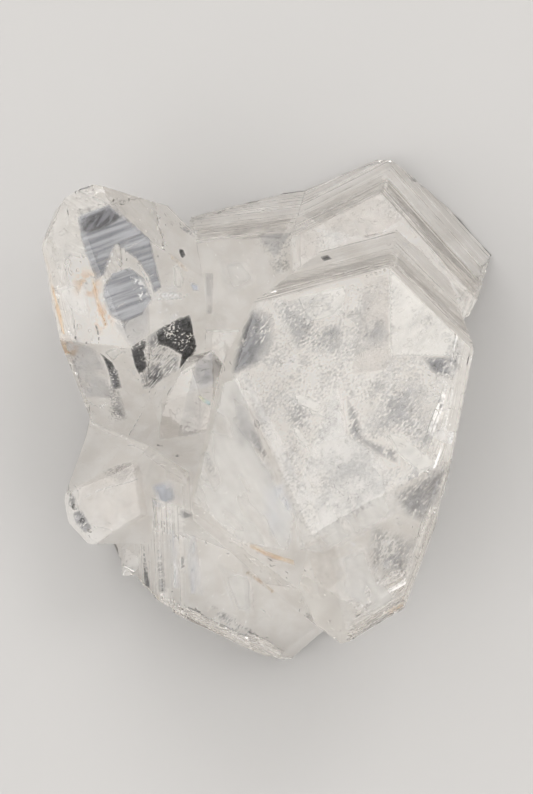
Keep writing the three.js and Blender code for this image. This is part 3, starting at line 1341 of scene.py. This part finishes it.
@dataclass
class StudioCamera:
    """The camera, at the photograph's viewpoint."""

    sight: Sight = SIGHT
    sensor: float = 36.0

    def build(self) -> bpy.types.Object:
        """Returns the camera."""
        data = bpy.data.cameras.new("camera")
        camera = bpy.data.objects.new("camera", data)
        bpy.context.scene.collection.objects.link(camera)
        camera.location = self.sight.eye()
        camera.rotation_mode = "QUATERNION"
        camera.rotation_quaternion = (-self.sight.back()).to_track_quat("-Z", "Y")
        data.sensor_width = self.sensor
        data.lens = self.sensor * self.sight.distance / self.sight.tall
        data.clip_start, data.clip_end = 0.01, 20.0
        bpy.context.scene.camera = camera
        return camera


BROAD_POINT = Facing(44, 79)
PALE_POINT = Facing(24, 77)
BANDS = (
    GrowthBand(Facing(101, 39), BROAD_POINT, (9.0, 15.5, 34.8)),
    GrowthBand(Facing(43, 33), BROAD_POINT, (29.7, 10.7, 32.8)),
    GrowthBand(Facing(113, 36), PALE_POINT, (12.9, 38.9, 14.7)),
    GrowthBand(Facing(38, 36), PALE_POINT, (25.6, 35.8, 14.9)),
    GrowthBand(Facing(98, 38), Facing(116, 86), (-6.2, 35.5, 11.6)),
    GrowthBand(Facing(-138, 44), Facing(-94, 56), (-16.2, -39.4, 14.4)),
    GrowthBand(Facing(-164, 20), Facing(-138, 44), (-21.6, -36.5, 9.8)),
)

NICKS = (
    (18.1, 21.7, 0.35), (18.9, 22.0, 0.3), (19.7, 22.2, 0.4), (20.5, 22.5, 0.3), (21.3, 22.8, 0.35),
    (22.1, 23.3, 0.45), (22.5, 24.5, 0.35), (23.0, 25.9, 0.4), (23.4, 27.2, 0.3), (-35.4, -17.3, 0.6),
    (-34.5, -19.8, 0.7), (-33.2, -22.3, 0.6), (-31.8, -24.1, 0.5),
)

ROOT_SHEETS = (
    CutFilm("ground_cut_film", Look.GROUND_CUT, cover=0.08),
)
# Sheets in the bright, pale, grey, bluish, rainbow, near-black, banded and dark speckled, streaked or lined
# looks carry painted highlights, painted reflections and painted shade.
MAIN_SHEETS = (
    SeenSheet("main_bright_upper", Look.BRIGHT_PANE, depth=1.5,
              seen=((5.4, 18.0), (14.3, 20.2), (14.0, 14.8), (7.6, 13.5))),
    SeenSheet("main_bright_right", Look.BRIGHT_PANE, depth=1.5,
              seen=((22.1, 23.2), (34.3, 10.9), (33.4, 7.3), (22.2, 7.3))),
    SeenSheet("main_beige_band", Look.BEIGE_PANE, depth=1.8,
              seen=((17.5, 21.2), (21.9, 22.2), (22.1, 7.7), (21.8, 4.9), (15.1, 4.1), (16.5, 12.7))),
    SeenSheet("shoulder_strokes", Look.DARK_STROKES, soft=1.2, depth=0.7,
              seen=((-2.2, 16.4), (-4.4, 13.0), (-5.8, 8.5), (-6.4, 4.3), (-5.5, 3.8), (-3.0, 5.4),
                    (-1.2, 8.8), (-0.6, 13.5))),
    SeenSheet("shoulder_smoke", Look.DARK_STROKES, soft=3.0, depth=1.3,
              seen=((-1.5, 16.7), (-3.7, 12.1), (-5.1, 4.5), (-0.8, 5.6), (1.7, 10.3), (1.3, 14.8))),
    SeenSheet("upper_smoke", Look.SMOKE, soft=1.8, depth=1.4,
              seen=((0.1, 17.7), (2.6, 18.4), (6.2, 15.5), (9.4, 13.8), (14.7, 12.7), (12.6, 7.3),
                    (5.4, 8.1))),
    SeenSheet("band_smoke", Look.SMOKE, soft=2.5, depth=1.2,
              seen=((15.4, 14.1), (21.8, 15.5), (22.2, 9.8), (15.4, 9.8))),
    SeenSheet("slope_grey", Look.GREY_PANE, soft=0.6, depth=1.0,
              seen=((-5.5, 3.6), (-6.6, 0.4), (-4.2, -7.7), (0.3, -11.0))),
    SeenSheet("slope_pale", Look.PALE_PANE, soft=0.15, cover=0.1, depth=0.7,
              seen=((-7.8, 2.5), (-5.3, 3.4), (-0.8, -7.7), (5.0, -22.1), (3.9, -27.9), (-4.8, -26.3),
                    (-13.2, -18.5))),
    SeenSheet("right_beam", Look.BRIGHT_PANE, soft=0.4, depth=0.9,
              seen=((21.5, -6.1), (24.6, -7.0), (31.1, -12.1), (27.6, -13.7), (23.7, -10.4))),
    SeenSheet("left_beam", Look.BRIGHT_PANE, soft=0.3, depth=0.9,
              seen=((4.5, 1.0), (7.2, 0.4), (10.5, -1.7), (9.3, -3.1), (5.4, -1.3))),
    SeenSheet("low_beam", Look.BRIGHT_PANE, soft=0.3, depth=0.9,
              seen=((4.2, -4.7), (6.0, -5.6), (8.1, -8.9), (6.9, -9.2), (5.1, -7.1))),
    SeenSheet("broad_mottle", Look.FINE_MOTTLE, soft=0.5, step=1.0, depth=0.9,
              seen=((-3.9, 15.3), (21.9, 22.0), (35.9, 9.4), (25.5, -36.2), (10.0, -36.5), (5.5, -22.1),
                    (-5.3, 4.5))),
    SeenSheet("broad_band_left", Look.BAND_RISING, soft=0.2, cover=0.1, depth=0.4,
              seen=((2.9, 21.5), (9.6, 24.2), (25.4, 31.0), (22.7, 23.3), (-0.3, 17.5))),
    SeenSheet("broad_band_right", Look.BAND_FALLING, soft=0.2, cover=0.1, depth=0.4,
              seen=((25.8, 31.0), (36.8, 13.4), (36.2, 10.7), (22.7, 23.0))),
    SeenSheet("slope_edge_pale", Look.PALE_PANE, soft=0.5, depth=1.0,
              seen=((-5.1, 4.5), (-3.3, 4.5), (8.2, -18.5), (6.0, -22.3))),
    SeenSheet("corner_strokes", Look.DARK_STROKES, soft=0.9, depth=1.2,
              seen=((27.9, 7.3), (35.2, 7.3), (34.1, 4.9), (32.1, 3.3), (29.6, 4.5))),
    SeenSheet("right_strokes", Look.DARK_STROKES, soft=0.7, depth=1.2,
              seen=((29.5, 0.8), (31.2, 0.4), (32.8, -3.3), (31.4, -2.8))),
    SeenSheet("pale_diamond", Look.PALE_PANE, depth=2.2,
              seen=((12.6, 3.6), (14.3, -6.5), (20.4, -10.4), (24.0, -16.1), (25.0, -22.9), (15.4, -28.6),
                    (6.2, -27.2), (4.7, -19.0), (7.6, -10.4))),
    SeenSheet("pale_apex", Look.PALE_PANE, depth=1.0,
              seen=((12.7, 3.3), (14.0, -1.9), (14.7, -7.2), (9.0, -8.7), (10.8, -2.3))),
    SeenSheet("left_of_diamond_smoke", Look.SMOKE, soft=2.2, depth=1.6,
              seen=((1.5, 1.7), (7.6, -0.5), (9.0, -3.3), (7.6, -8.7), (3.0, -4.8))),
    SeenSheet("left_bright_wedge", Look.BRIGHT_PANE, soft=0.5, depth=1.2,
              seen=((6.2, -0.1), (10.8, -2.3), (10.8, -3.9), (7.9, -3.3))),
    SeenSheet("left_bright_blade", Look.BRIGHT_PANE, soft=0.5, depth=1.2,
              seen=((4.6, -5.5), (7.6, -9.0), (7.9, -10.8), (5.4, -7.6))),
    SeenSheet("right_of_diamond_strokes", Look.DARK_STROKES, soft=1.6, depth=1.2,
              seen=((14.3, -0.1), (16.5, -2.3), (17.5, -7.2), (20.4, -8.3), (24.0, -9.7), (23.6, -12.2),
                    (19.7, -10.4), (14.7, -6.9))),
    SeenSheet("right_field_smoke", Look.SMOKE, soft=5.0, depth=2.0,
              seen=((16.5, 5.2), (27.2, 3.4), (32.5, -5.5), (27.2, -10.8), (18.3, -7.2))),
    SeenSheet("wedge_bright", Look.BRIGHT_PANE, soft=1.0, depth=1.4,
              seen=((20.4, -6.2), (24.0, -7.0), (30.6, -12.3), (26.8, -13.5), (24.3, -11.5))),
    SeenSheet("wedge_glow", Look.PALE_PANE, soft=0.8, depth=1.0,
              seen=((24.0, -7.1), (30.7, -12.2), (22.5, -16.9), (24.7, -11.9))),
    SeenSheet("under_edge_smoke", Look.SMOKE, soft=1.8, depth=1.4,
              seen=((22.2, -17.1), (33.1, -11.2), (32.1, -17.9), (28.2, -22.9), (24.7, -21.5))),
    SeenSheet("slope_smoke_upper", Look.SMOKE, soft=2.4, depth=1.4,
              seen=((-4.9, -0.1), (-3.1, -3.3), (2.2, -14.4), (1.5, -17.9), (-4.9, -10.8), (-7.0, -5.5))),
    SeenSheet("slope_smoke_edge", Look.DARK_STROKES, soft=1.4, depth=1.0,
              seen=((-3.1, -5.5), (-1.5, -6.5), (0.5, -10.8), (-0.2, -11.9), (-2.7, -8.3))),
    SeenSheet("slope_strokes", Look.SMOKE, soft=1.0, depth=1.0,
              seen=((-11.8, -9.7), (-10.4, -9.7), (-8.4, -14.7), (-10.2, -14.7))),
    SeenSheet("slope_blue_sheen", Look.BLUE_SHEEN, soft=1.6, depth=1.0,
              seen=((-1.3, -16.1), (3.3, -15.1), (5.4, -20.1), (4.7, -27.2), (0.5, -25.0))),
    SeenSheet("apex_bright", Look.BRIGHT_PANE, soft=1.4, depth=1.0,
              seen=((-5.8, 2.0), (-3.1, 1.7), (-2.0, -0.8), (-3.4, -2.3))),
    SeenSheet("round_crack", Look.PALE_PANE, soft=0.3, depth=1.0,
              seen=((29.1, -6.9), (32.1, -5.1), (33.7, -6.5), (33.2, -9.0), (29.8, -7.2))),
    crack("crack_upper", Look.BUBBLE_VEIL, 0.35, 0.8,
          ((6.9, 5.7), (9.4, 7.3), (11.9, 8.2))),
    crack("crack_middle", Look.DARK_LINE, 0.3, 0.8,
          ((13.6, 3.6), (14.7, 4.7), (16.3, 5.6))),
    crack("crack_far_upper", Look.SMOKE, 0.3, 0.8,
          ((7.6, 14.5), (10.4, 16.6), (12.9, 18.7))),
    crack("crack_right", Look.DARK_LINE, 0.25, 0.8,
          ((27.5, 5.2), (28.8, 4.1), (30.4, 3.4))),
    crack("crack_edge", Look.BUBBLE_VEIL, 0.3, 0.8,
          ((29.1, -7.4), (30.4, -6.0), (32.1, -5.1))),
    SeenSheet("edge_sparkle", Look.BUBBLE_VEIL, soft=0.3, depth=0.8,
              seen=((32.7, -5.8), (33.9, -6.4), (33.4, -9.0), (32.5, -8.0))),
    crack("apex_line", Look.BUBBLE_VEIL, 0.35, 0.6,
          ((5.7, -25.7), (8.2, -24.3), (10.5, -23.0))),
    crack("diamond_line", Look.BRIGHT_PANE, 0.25, 0.8,
          ((5.3, -19.4), (6.4, -14.9), (7.6, -10.4))),
    SeenSheet("fracture_upper", Look.SILVER_FRACTURE, soft=3.0, ripple=1.2, depth=7.0,
              seen=((0.5, 15.5), (14.7, 17.7), (18.3, 7.0), (7.6, 1.7), (-0.2, 6.3))),
    SeenSheet("fracture_right", Look.SILVER_FRACTURE, soft=3.0, ripple=1.2, depth=10.0,
              seen=((16.5, 5.2), (34.3, 5.2), (32.5, -7.2), (18.3, -5.5))),
    SeenSheet("fracture_low", Look.SILVER_FRACTURE, soft=3.0, ripple=1.0, depth=6.0,
              seen=((11.4, -25.7), (24.0, -18.5), (27.6, -34.7), (15.0, -40.1))),
    SeenSheet("low_beige", Look.BEIGE_PANE, soft=0.6, depth=1.5,
              seen=((6.9, -26.6), (11.4, -23.9), (14.1, -32.0), (9.6, -36.5))),
    SeenSheet("low_smoke", Look.SMOKE, soft=3.0, depth=1.5,
              seen=((18.6, -22.1), (27.6, -25.7), (25.8, -33.8), (17.7, -31.1))),
    SeenSheet("low_pale", Look.PALE_PANE, soft=1.0, depth=1.2,
              seen=((11.4, -29.3), (17.7, -26.6), (24.0, -36.5), (14.1, -42.3))),
)
# As above, the bright, pale, grey, bluish, near-black, banded and dark speckled, streaked or lined sheets
# here are painted light and shade.
LEFT_SHEETS = (
    SeenSheet("window_top", Look.BANDED_PANE, depth=1.4,
              seen=((-33.8, 32.5), (-28.2, 34.6), (-25.2, 31.9), (-21.0, 28.3), (-18.9, 19.7),
                    (-20.3, 18.4), (-21.3, 21.5), (-23.2, 24.6), (-27.0, 27.4), (-27.9, 25.8),
                    (-29.1, 22.0), (-30.4, 20.6), (-32.0, 23.8), (-33.1, 27.8))),
    SeenSheet("window_dark_top", Look.DARK_STROKES, soft=0.6, depth=1.0,
              seen=((-33.6, 32.2), (-28.3, 34.3), (-25.8, 32.1), (-29.1, 30.3), (-33.0, 29.1))),
    SeenSheet("window_round", Look.BANDED_PANE, depth=1.4,
              seen=((-27.9, 22.3), (-24.6, 23.4), (-22.0, 21.5), (-20.6, 17.5), (-22.3, 14.8),
                    (-25.5, 13.3), (-28.1, 14.7), (-29.4, 17.7), (-29.1, 20.4))),
    SeenSheet("window_foot", Look.GREY_PANE, soft=0.6, depth=1.4,
              seen=((-28.4, 14.4), (-26.4, 13.6), (-23.4, 15.6), (-21.1, 16.8), (-20.9, 11.3),
                    (-24.3, 9.0))),
    SeenSheet("window_left_smoke", Look.SMOKE, soft=0.6, depth=1.3,
              seen=((-32.6, 26.4), (-30.5, 25.9), (-30.7, 22.6), (-31.5, 21.9))),
    SeenSheet("black_upper", Look.BLACK_PANE, depth=1.3,
              seen=((-19.7, 11.7), (-13.6, 15.1), (-13.2, 11.8), (-12.5, 9.3), (-13.5, 6.6), (-14.8, 5.1),
                    (-15.9, 4.3), (-15.3, 7.5), (-17.6, 8.9), (-19.7, 9.5))),
    SeenSheet("black_lower", Look.BLACK_PANE, depth=1.3,
              seen=((-24.0, 8.9), (-21.3, 10.6), (-22.0, 8.3), (-21.4, 5.5), (-22.5, 4.0), (-23.4, 5.5))),
    SeenSheet("black_between", Look.SMOKE, soft=0.8, depth=1.5,
              seen=((-21.4, 10.5), (-19.7, 11.7), (-17.3, 8.8), (-15.6, 7.2), (-16.1, 4.5), (-21.9, 1.2),
                    (-22.4, 4.0), (-21.4, 5.5))),
    SeenSheet("black_strokes", Look.DARK_STROKES, soft=1.0, depth=1.2,
              seen=((-22.4, 4.0), (-19.1, 6.5), (-18.3, 3.7), (-20.9, 1.2))),
    # Painted reflection: a small near-black patch, with a dark tail, where the face mirrors the dark room.
    SeenSheet("dark_flake", Look.BLACK_PANE, depth=0.9,
              seen=((-30.3, 8.2), (-27.7, 6.2), (-27.1, 5.0), (-28.4, 4.5), (-29.4, 7.0))),
    SeenSheet("dark_flake_tail", Look.DARK_STROKES, soft=0.5, depth=0.9,
              seen=((-28.7, 5.1), (-26.8, 5.1), (-26.0, 1.6), (-27.7, 1.2))),
    # Painted highlight: a small bright patch.
    SeenSheet("bright_flake", Look.BRIGHT_PANE, depth=0.8,
              seen=((-29.3, 8.1), (-27.4, 8.9), (-25.8, 8.1), (-27.6, 6.5))),
    crack("dashed_crack", Look.DARK_LINE, 0.4, 0.8,
          ((-31.0, 13.6), (-30.5, 12.3), (-30.2, 10.8), (-30.2, 9.3))),
    crack("dotted_veil", Look.BUBBLE_VEIL, 0.75, 0.8,
          ((-27.8, 27.7), (-28.0, 24.9), (-28.7, 22.9), (-29.2, 20.4), (-29.5, 17.6))),
    crack("veil_rim_left", Look.DARK_LINE, 0.3, 0.8,
          ((-26.4, 23.4), (-25.1, 22.9), (-24.0, 21.9))),
    crack("veil_rim_loop", Look.BUBBLE_VEIL, 0.3, 0.8,
          ((-24.3, 23.9), (-23.4, 24.2), (-22.6, 22.9), (-21.7, 21.4), (-21.1, 19.9), (-20.7, 17.6),
           (-20.8, 14.8))),
    SeenSheet("veil_sparkle", Look.BUBBLE_VEIL, soft=0.8, depth=0.9,
              seen=((-24.9, 21.9), (-21.9, 21.4), (-20.9, 18.1), (-22.6, 16.3), (-23.9, 18.9))),
    crack("foot_crack", Look.BUBBLE_VEIL, 0.35, 0.8,
          ((-28.4, 14.7), (-26.7, 13.6), (-25.1, 11.7))),
    crack("foot_stripe", Look.BRIGHT_PANE, 0.35, 0.9,
          ((-28.3, 15.3), (-26.4, 16.5), (-24.4, 17.5))),
    crack("side_stripe", Look.BRIGHT_PANE, 0.3, 0.9,
          ((-21.5, 21.4), (-20.4, 22.0), (-19.3, 22.5))),
    SeenSheet("left_edge_iron", Look.IRON_FILM, soft=0.2, cover=0.08, depth=0.6,
              seen=((-40.2, 27.1), (-39.5, 24.9), (-38.2, 19.9), (-37.1, 16.3), (-36.0, 11.0),
                    (-36.9, 11.3), (-38.4, 17.3), (-39.8, 23.9))),
    SeenSheet("window_edge_iron", Look.IRON_FILM, soft=0.4, depth=0.7,
              seen=((-31.8, 22.6), (-30.7, 20.9), (-29.9, 17.3), (-28.4, 12.8), (-29.2, 12.3),
                    (-30.7, 16.3), (-31.5, 19.9))),
    # Painted reflection: pale sheen on the left crystal's left face.
    SeenSheet("left_face_milk", Look.PALE_PANE, soft=1.0, depth=1.2,
              seen=((-37.9, 19.6), (-32.5, 21.6), (-31.7, 13.8), (-36.1, 15.8))),
    SeenSheet("left_face_grey", Look.GREY_PANE, soft=0.8, depth=1.6,
              seen=((-36.9, 10.5), (-30.7, 9.0), (-29.4, 6.2), (-27.4, -0.3), (-33.2, -0.3))),
    SeenSheet("right_lobe_bright", Look.BRIGHT_PANE, soft=0.6, depth=1.0,
              seen=((-16.8, 23.7), (-15.8, 23.9), (-14.8, 21.4), (-15.3, 19.2), (-16.8, 19.9))),
    SeenSheet("right_flash_blue", Look.BLUE_SHEEN, soft=0.4, depth=0.9,
              seen=((-14.2, 20.9), (-12.4, 20.4), (-11.9, 18.9), (-13.3, 19.1))),
    # Painted reflection: a small near-black patch.
    SeenSheet("right_black_flake", Look.BLACK_PANE, depth=0.8,
              seen=((-15.8, 26.7), (-15.0, 26.6), (-14.5, 25.4), (-15.2, 24.9), (-15.7, 25.7))),
    SeenSheet("left_lobe_strokes", Look.SMOKE, soft=0.4, depth=0.9,
              seen=((-16.8, 32.0), (-15.8, 31.7), (-12.5, 29.2), (-13.0, 28.7), (-15.8, 30.2))),
    SeenSheet("right_iron", Look.IRON_FILM, soft=0.3, depth=0.8,
              seen=((-17.7, 25.9), (-16.9, 25.7), (-13.5, 22.4), (-14.3, 22.4), (-17.1, 24.7))),
    SeenSheet("right_sparkle", Look.BUBBLE_VEIL, soft=0.6, depth=0.9,
              seen=((-20.4, 18.6), (-14.3, 19.1), (-13.5, 17.6), (-19.8, 17.3))),
    SeenSheet("left_fracture", Look.SILVER_FRACTURE, soft=1.5, ripple=0.8, depth=4.0,
              seen=((-26.4, 24.9), (-19.8, 24.9), (-20.4, 13.8), (-27.4, 13.8))),
    SeenSheet("left_low_smoke", Look.SMOKE, soft=1.5, depth=1.5,
              seen=((-29.4, 3.7), (-26.4, 1.7), (-24.9, -3.9), (-28.4, -5.1))),
)
# As above, the bright, pale, grey, bluish, rainbow, near-black and dark speckled, streaked or lined sheets
# here are painted light and shade.
LOW_SHEETS = (
    SeenSheet("back_band", Look.BAND_RISING, soft=0.2, cover=0.1, depth=0.4,
              seen=((-13.4, 32.8), (7.4, 37.1), (5.3, 32.8), (2.4, 28.4), (-12.4, 27.9))),
    SeenSheet("parallel_band_left", Look.BAND_RISING, soft=0.2, cover=0.1, depth=0.4,
              seen=((7.8, 37.3), (21.5, 43.2), (20.9, 36.8), (9.6, 31.0), (5.6, 32.8))),
    SeenSheet("parallel_band_right", Look.BAND_FALLING, soft=0.2, cover=0.1, depth=0.4,
              seen=((21.9, 43.2), (25.8, 40.4), (40.2, 27.4), (36.8, 14.3), (25.8, 31.0), (21.1, 36.8))),
    SeenSheet("back_mottle", Look.FINE_MOTTLE, soft=0.6, step=1.0, depth=0.9,
              seen=((-12.0, 27.4), (2.4, 28.3), (5.6, 32.3), (8.7, 30.1), (24.0, 36.4), (24.9, 31.0),
                    (2.4, 22.0), (-4.8, 14.8), (-10.2, 14.8))),
    SeenSheet("back_grey_facet", Look.GREY_PANE, soft=0.3, depth=1.0,
              seen=((-2.0, 29.4), (4.6, 29.6), (1.5, 24.8))),
    SeenSheet("back_grey_strip", Look.GREY_PANE, soft=0.3, depth=1.0,
              seen=((-11.1, 22.3), (-9.5, 22.4), (-9.7, 14.9), (-10.9, 15.1))),
    SeenSheet("back_beige", Look.BEIGE_PANE, soft=0.8, depth=1.0,
              seen=((4.6, 29.4), (9.0, 30.8), (9.7, 25.1), (3.0, 23.4))),
    # Painted reflection: a pale patch behind the back faces.
    SeenSheet("back_milk", Look.PALE_PANE, soft=2.5, depth=1.6,
              seen=((-9.1, 24.8), (-2.0, 26.6), (-1.3, 20.5), (-7.4, 17.0))),
    SeenSheet("parallel_pale", Look.PALE_PANE, soft=1.2, depth=1.0,
              seen=((10.4, 29.8), (16.8, 33.3), (24.7, 30.8), (18.3, 28.3), (11.1, 26.2))),
    # Painted reflection: a small near-black patch.
    SeenSheet("parallel_flake", Look.BLACK_PANE, step=0.3, depth=0.7,
              seen=((9.5, 25.3), (11.1, 25.6), (11.9, 24.8), (10.4, 24.4))),
    SeenSheet("valley_beige", Look.BEIGE_PANE, soft=0.4, depth=0.8,
              seen=((-19.5, -0.9), (-11.2, 2.0), (-8.4, 2.3), (-13.6, -16.4), (-19.2, -14.6))),
    SeenSheet("valley_grey", Look.GREY_PANE, soft=0.5, depth=1.0,
              seen=((-16.3, -7.7), (-13.4, 4.5), (-11.1, 8.5), (-9.3, 3.1), (-13.8, -13.1))),
    SeenSheet("valley_bright", Look.BRIGHT_PANE, soft=0.3, depth=0.9,
              seen=((-15.6, 4.5), (-13.8, 9.4), (-12.2, 8.1), (-13.8, 2.2))),
    SeenSheet("valley_flash", Look.RAINBOW_FLASH, soft=0.15, step=0.3, depth=0.6,
              seen=((-12.7, 0.4), (-12.0, 0.4), (-9.8, -0.9), (-10.2, -1.6), (-11.4, -1.1))),
    SeenSheet("valley_smoke", Look.SMOKE, soft=0.6, depth=0.8,
              seen=((-11.1, 5.8), (-9.6, 4.5), (-10.7, 0.9), (-12.0, 2.3))),
    SeenSheet("pillar_sheen_a", Look.BLUE_SHEEN, soft=0.6, depth=0.8,
              seen=((-18.6, -23.6), (-16.3, -23.9), (-15.2, -34.7), (-17.4, -34.4))),
    SeenSheet("pillar_sheen_b", Look.BLUE_SHEEN, soft=0.6, depth=0.8,
              seen=((-15.2, -24.3), (-12.7, -24.8), (-11.1, -36.2), (-13.8, -35.5))),
    SeenSheet("pillar_dark_a", Look.DARK_STROKES, soft=0.4, depth=0.7,
              seen=((-23.8, -26.6), (-22.4, -24.8), (-20.6, -34.7), (-21.7, -34.7))),
    SeenSheet("pillar_dark_b", Look.DARK_STROKES, soft=0.4, depth=0.7,
              seen=((-16.3, -28.4), (-14.8, -28.6), (-14.5, -32.0), (-15.9, -31.5))),
    SeenSheet("pillar_dark_c", Look.SMOKE, soft=0.8, depth=0.9,
              seen=((-21.0, -25.7), (-19.2, -23.9), (-17.7, -35.1), (-19.2, -35.5))),
    SeenSheet("parallel_beige", Look.BEIGE_PANE, soft=0.3, depth=1.0,
              seen=((6.6, 30.8), (10.0, 35.1), (21.3, 36.9), (25.5, 32.8), (19.0, 28.3))),
    SeenSheet("low_point_pale", Look.PALE_PANE, soft=1.0, depth=1.0,
              seen=((-9.3, -29.3), (-3.0, -32.0), (1.5, -41.0), (-5.7, -38.3))),
    SeenSheet("low_point_smoke", Look.SMOKE, soft=1.2, depth=1.0,
              seen=((-11.1, -36.5), (-4.8, -40.1), (2.4, -45.5), (0.6, -46.4), (-7.5, -41.9))),
    crack("low_crack", Look.BUBBLE_VEIL, 0.35, 0.7,
          ((-3.0, -36.0), (-0.8, -38.3), (2.4, -41.0))),
    SeenSheet("low_iron", Look.IRON_FILM, soft=0.2, depth=0.7,
              seen=((-4.2, -31.5), (-3.3, -31.3), (1.7, -34.4), (1.3, -35.5))),
    SeenSheet("low_iron_dot_a", Look.IRON_FILM, soft=0.2, step=0.3, depth=0.5,
              seen=((-22.8, -32.9), (-22.1, -32.4), (-21.7, -33.7), (-22.4, -34.0))),
    SeenSheet("low_iron_dot_b", Look.IRON_FILM, soft=0.2, step=0.3, depth=0.5,
              seen=((-20.2, -35.6), (-19.5, -35.3), (-19.2, -36.4), (-19.9, -36.7))),
    SeenSheet("main_low_iron", Look.IRON_FILM, soft=0.2, cover=0.08, depth=0.5,
              seen=((19.0, -41.6), (24.8, -36.5), (25.5, -37.1), (20.1, -42.5))),
    SeenSheet("curve_iron", Look.IRON_FILM, soft=0.3, depth=0.6,
              seen=((-3.0, -26.1), (0.6, -27.9), (5.0, -29.3), (5.3, -30.4), (0.3, -29.0),
                    (-3.1, -27.2))),
    SeenSheet("chunk_black", Look.BLACK_PANE, soft=0.15, step=0.3, depth=0.5,
              seen=((-35.4, -17.1), (-34.3, -18.2), (-34.6, -20.7), (-35.7, -19.3))),
    SeenSheet("chunk_dark", Look.DARK_STROKES, soft=0.4, depth=0.6,
              seen=((-35.0, -20.7), (-33.2, -20.3), (-31.4, -23.6), (-32.5, -24.7), (-34.3, -22.9))),
    SeenSheet("chunk_bright", Look.PALE_PANE, soft=1.5, depth=1.4,
              seen=((-30.0, -15.7), (-23.7, -14.0), (-21.3, -18.5), (-27.8, -20.7))),
    SeenSheet("chunk_beige", Look.BEIGE_PANE, soft=1.5, depth=1.0,
              seen=((-34.6, -16.0), (-25.5, -10.6), (-15.2, -14.9), (-17.7, -20.7), (-28.5, -24.7),
                    (-33.2, -22.9))),
    SeenSheet("chunk_smoke", Look.SMOKE, soft=1.5, depth=1.2,
              seen=((-31.4, -13.1), (-26.4, -11.3), (-21.0, -13.1), (-26.4, -16.0))),
    SeenSheet("chunk_blue", Look.BLUE_SHEEN, soft=1.0, depth=1.0,
              seen=((-21.0, -15.8), (-17.0, -14.6), (-15.6, -18.5), (-19.2, -20.0))),
    crack("chunk_crack", Look.BUBBLE_VEIL, 0.35, 0.8,
          ((-33.6, -18.5), (-30.0, -16.7), (-24.6, -15.3), (-19.2, -13.1))),
    crack("valley_crack", Look.BUBBLE_VEIL, 0.3, 0.8,
          ((-26.7, -10.4), (-23.7, -5.0), (-21.0, -0.5))),
    SeenSheet("break_strokes", Look.DARK_STROKES, soft=0.3, cover=0.1, depth=0.4,
              seen=((-16.3, -20.0), (-12.3, -19.6), (-12.0, -21.1), (-15.2, -22.1))),
)
DEEP_SHEETS = (
    DeepSheet("deep_fracture_left", Look.SILVER_FRACTURE, soft=4.0, ripple=1.5, step=1.0,
              places=((-38.0, 14.0, 20.0), (-18.0, 22.0, 24.0), (-16.0, 2.0, 16.0), (-34.0, -4.0, 14.0))),
    DeepSheet("deep_fracture_parallel", Look.SILVER_FRACTURE, soft=3.0, ripple=1.0, step=1.0,
              places=((4.0, 30.0, 12.0), (24.0, 36.0, 12.0), (34.0, 20.0, 11.0), (22.0, 20.0, 15.0))),
)
SHEETS = ROOT_SHEETS + DEEP_SHEETS + MAIN_SHEETS + LEFT_SHEETS + LOW_SHEETS

SOFTBOXES = (
    Softbox(Facing(-132, 44), 20, 2.8),
    Softbox(Facing(62, 52), 13, 2.6),
    Softbox(Facing(0, 50), 10, 0.8),
    Softbox(Facing(-60, 16), 20, -0.7),
    Softbox(Facing(160, 12), 18, -0.7),
    Softbox(Facing(60, 10), 16, -0.7),
)
LIGHT_BOUNCES = {"max_bounces": 14, "diffuse_bounces": 8, "transmission_bounces": 14,
                 "glossy_bounces": 8, "transparent_max_bounces": 16}


def main() -> None:
    logging.basicConfig(level=logging.INFO, format="%(message)s")
    noise.seed_set(NOISE_SEED)
    scene = bpy.context.scene
    scene.view_settings.view_transform = "Standard"
    for name, count in LIGHT_BOUNCES.items():
        setattr(scene.cycles, name, count)
    effects = SharedEffects()
    StudioCamera().build()
    Cluster(Quartz(BANDS), SHEETS).build(effects)
    StudioFloor().build()
    StudioLight(SOFTBOXES).build()


if __name__ == "__main__":
    main()
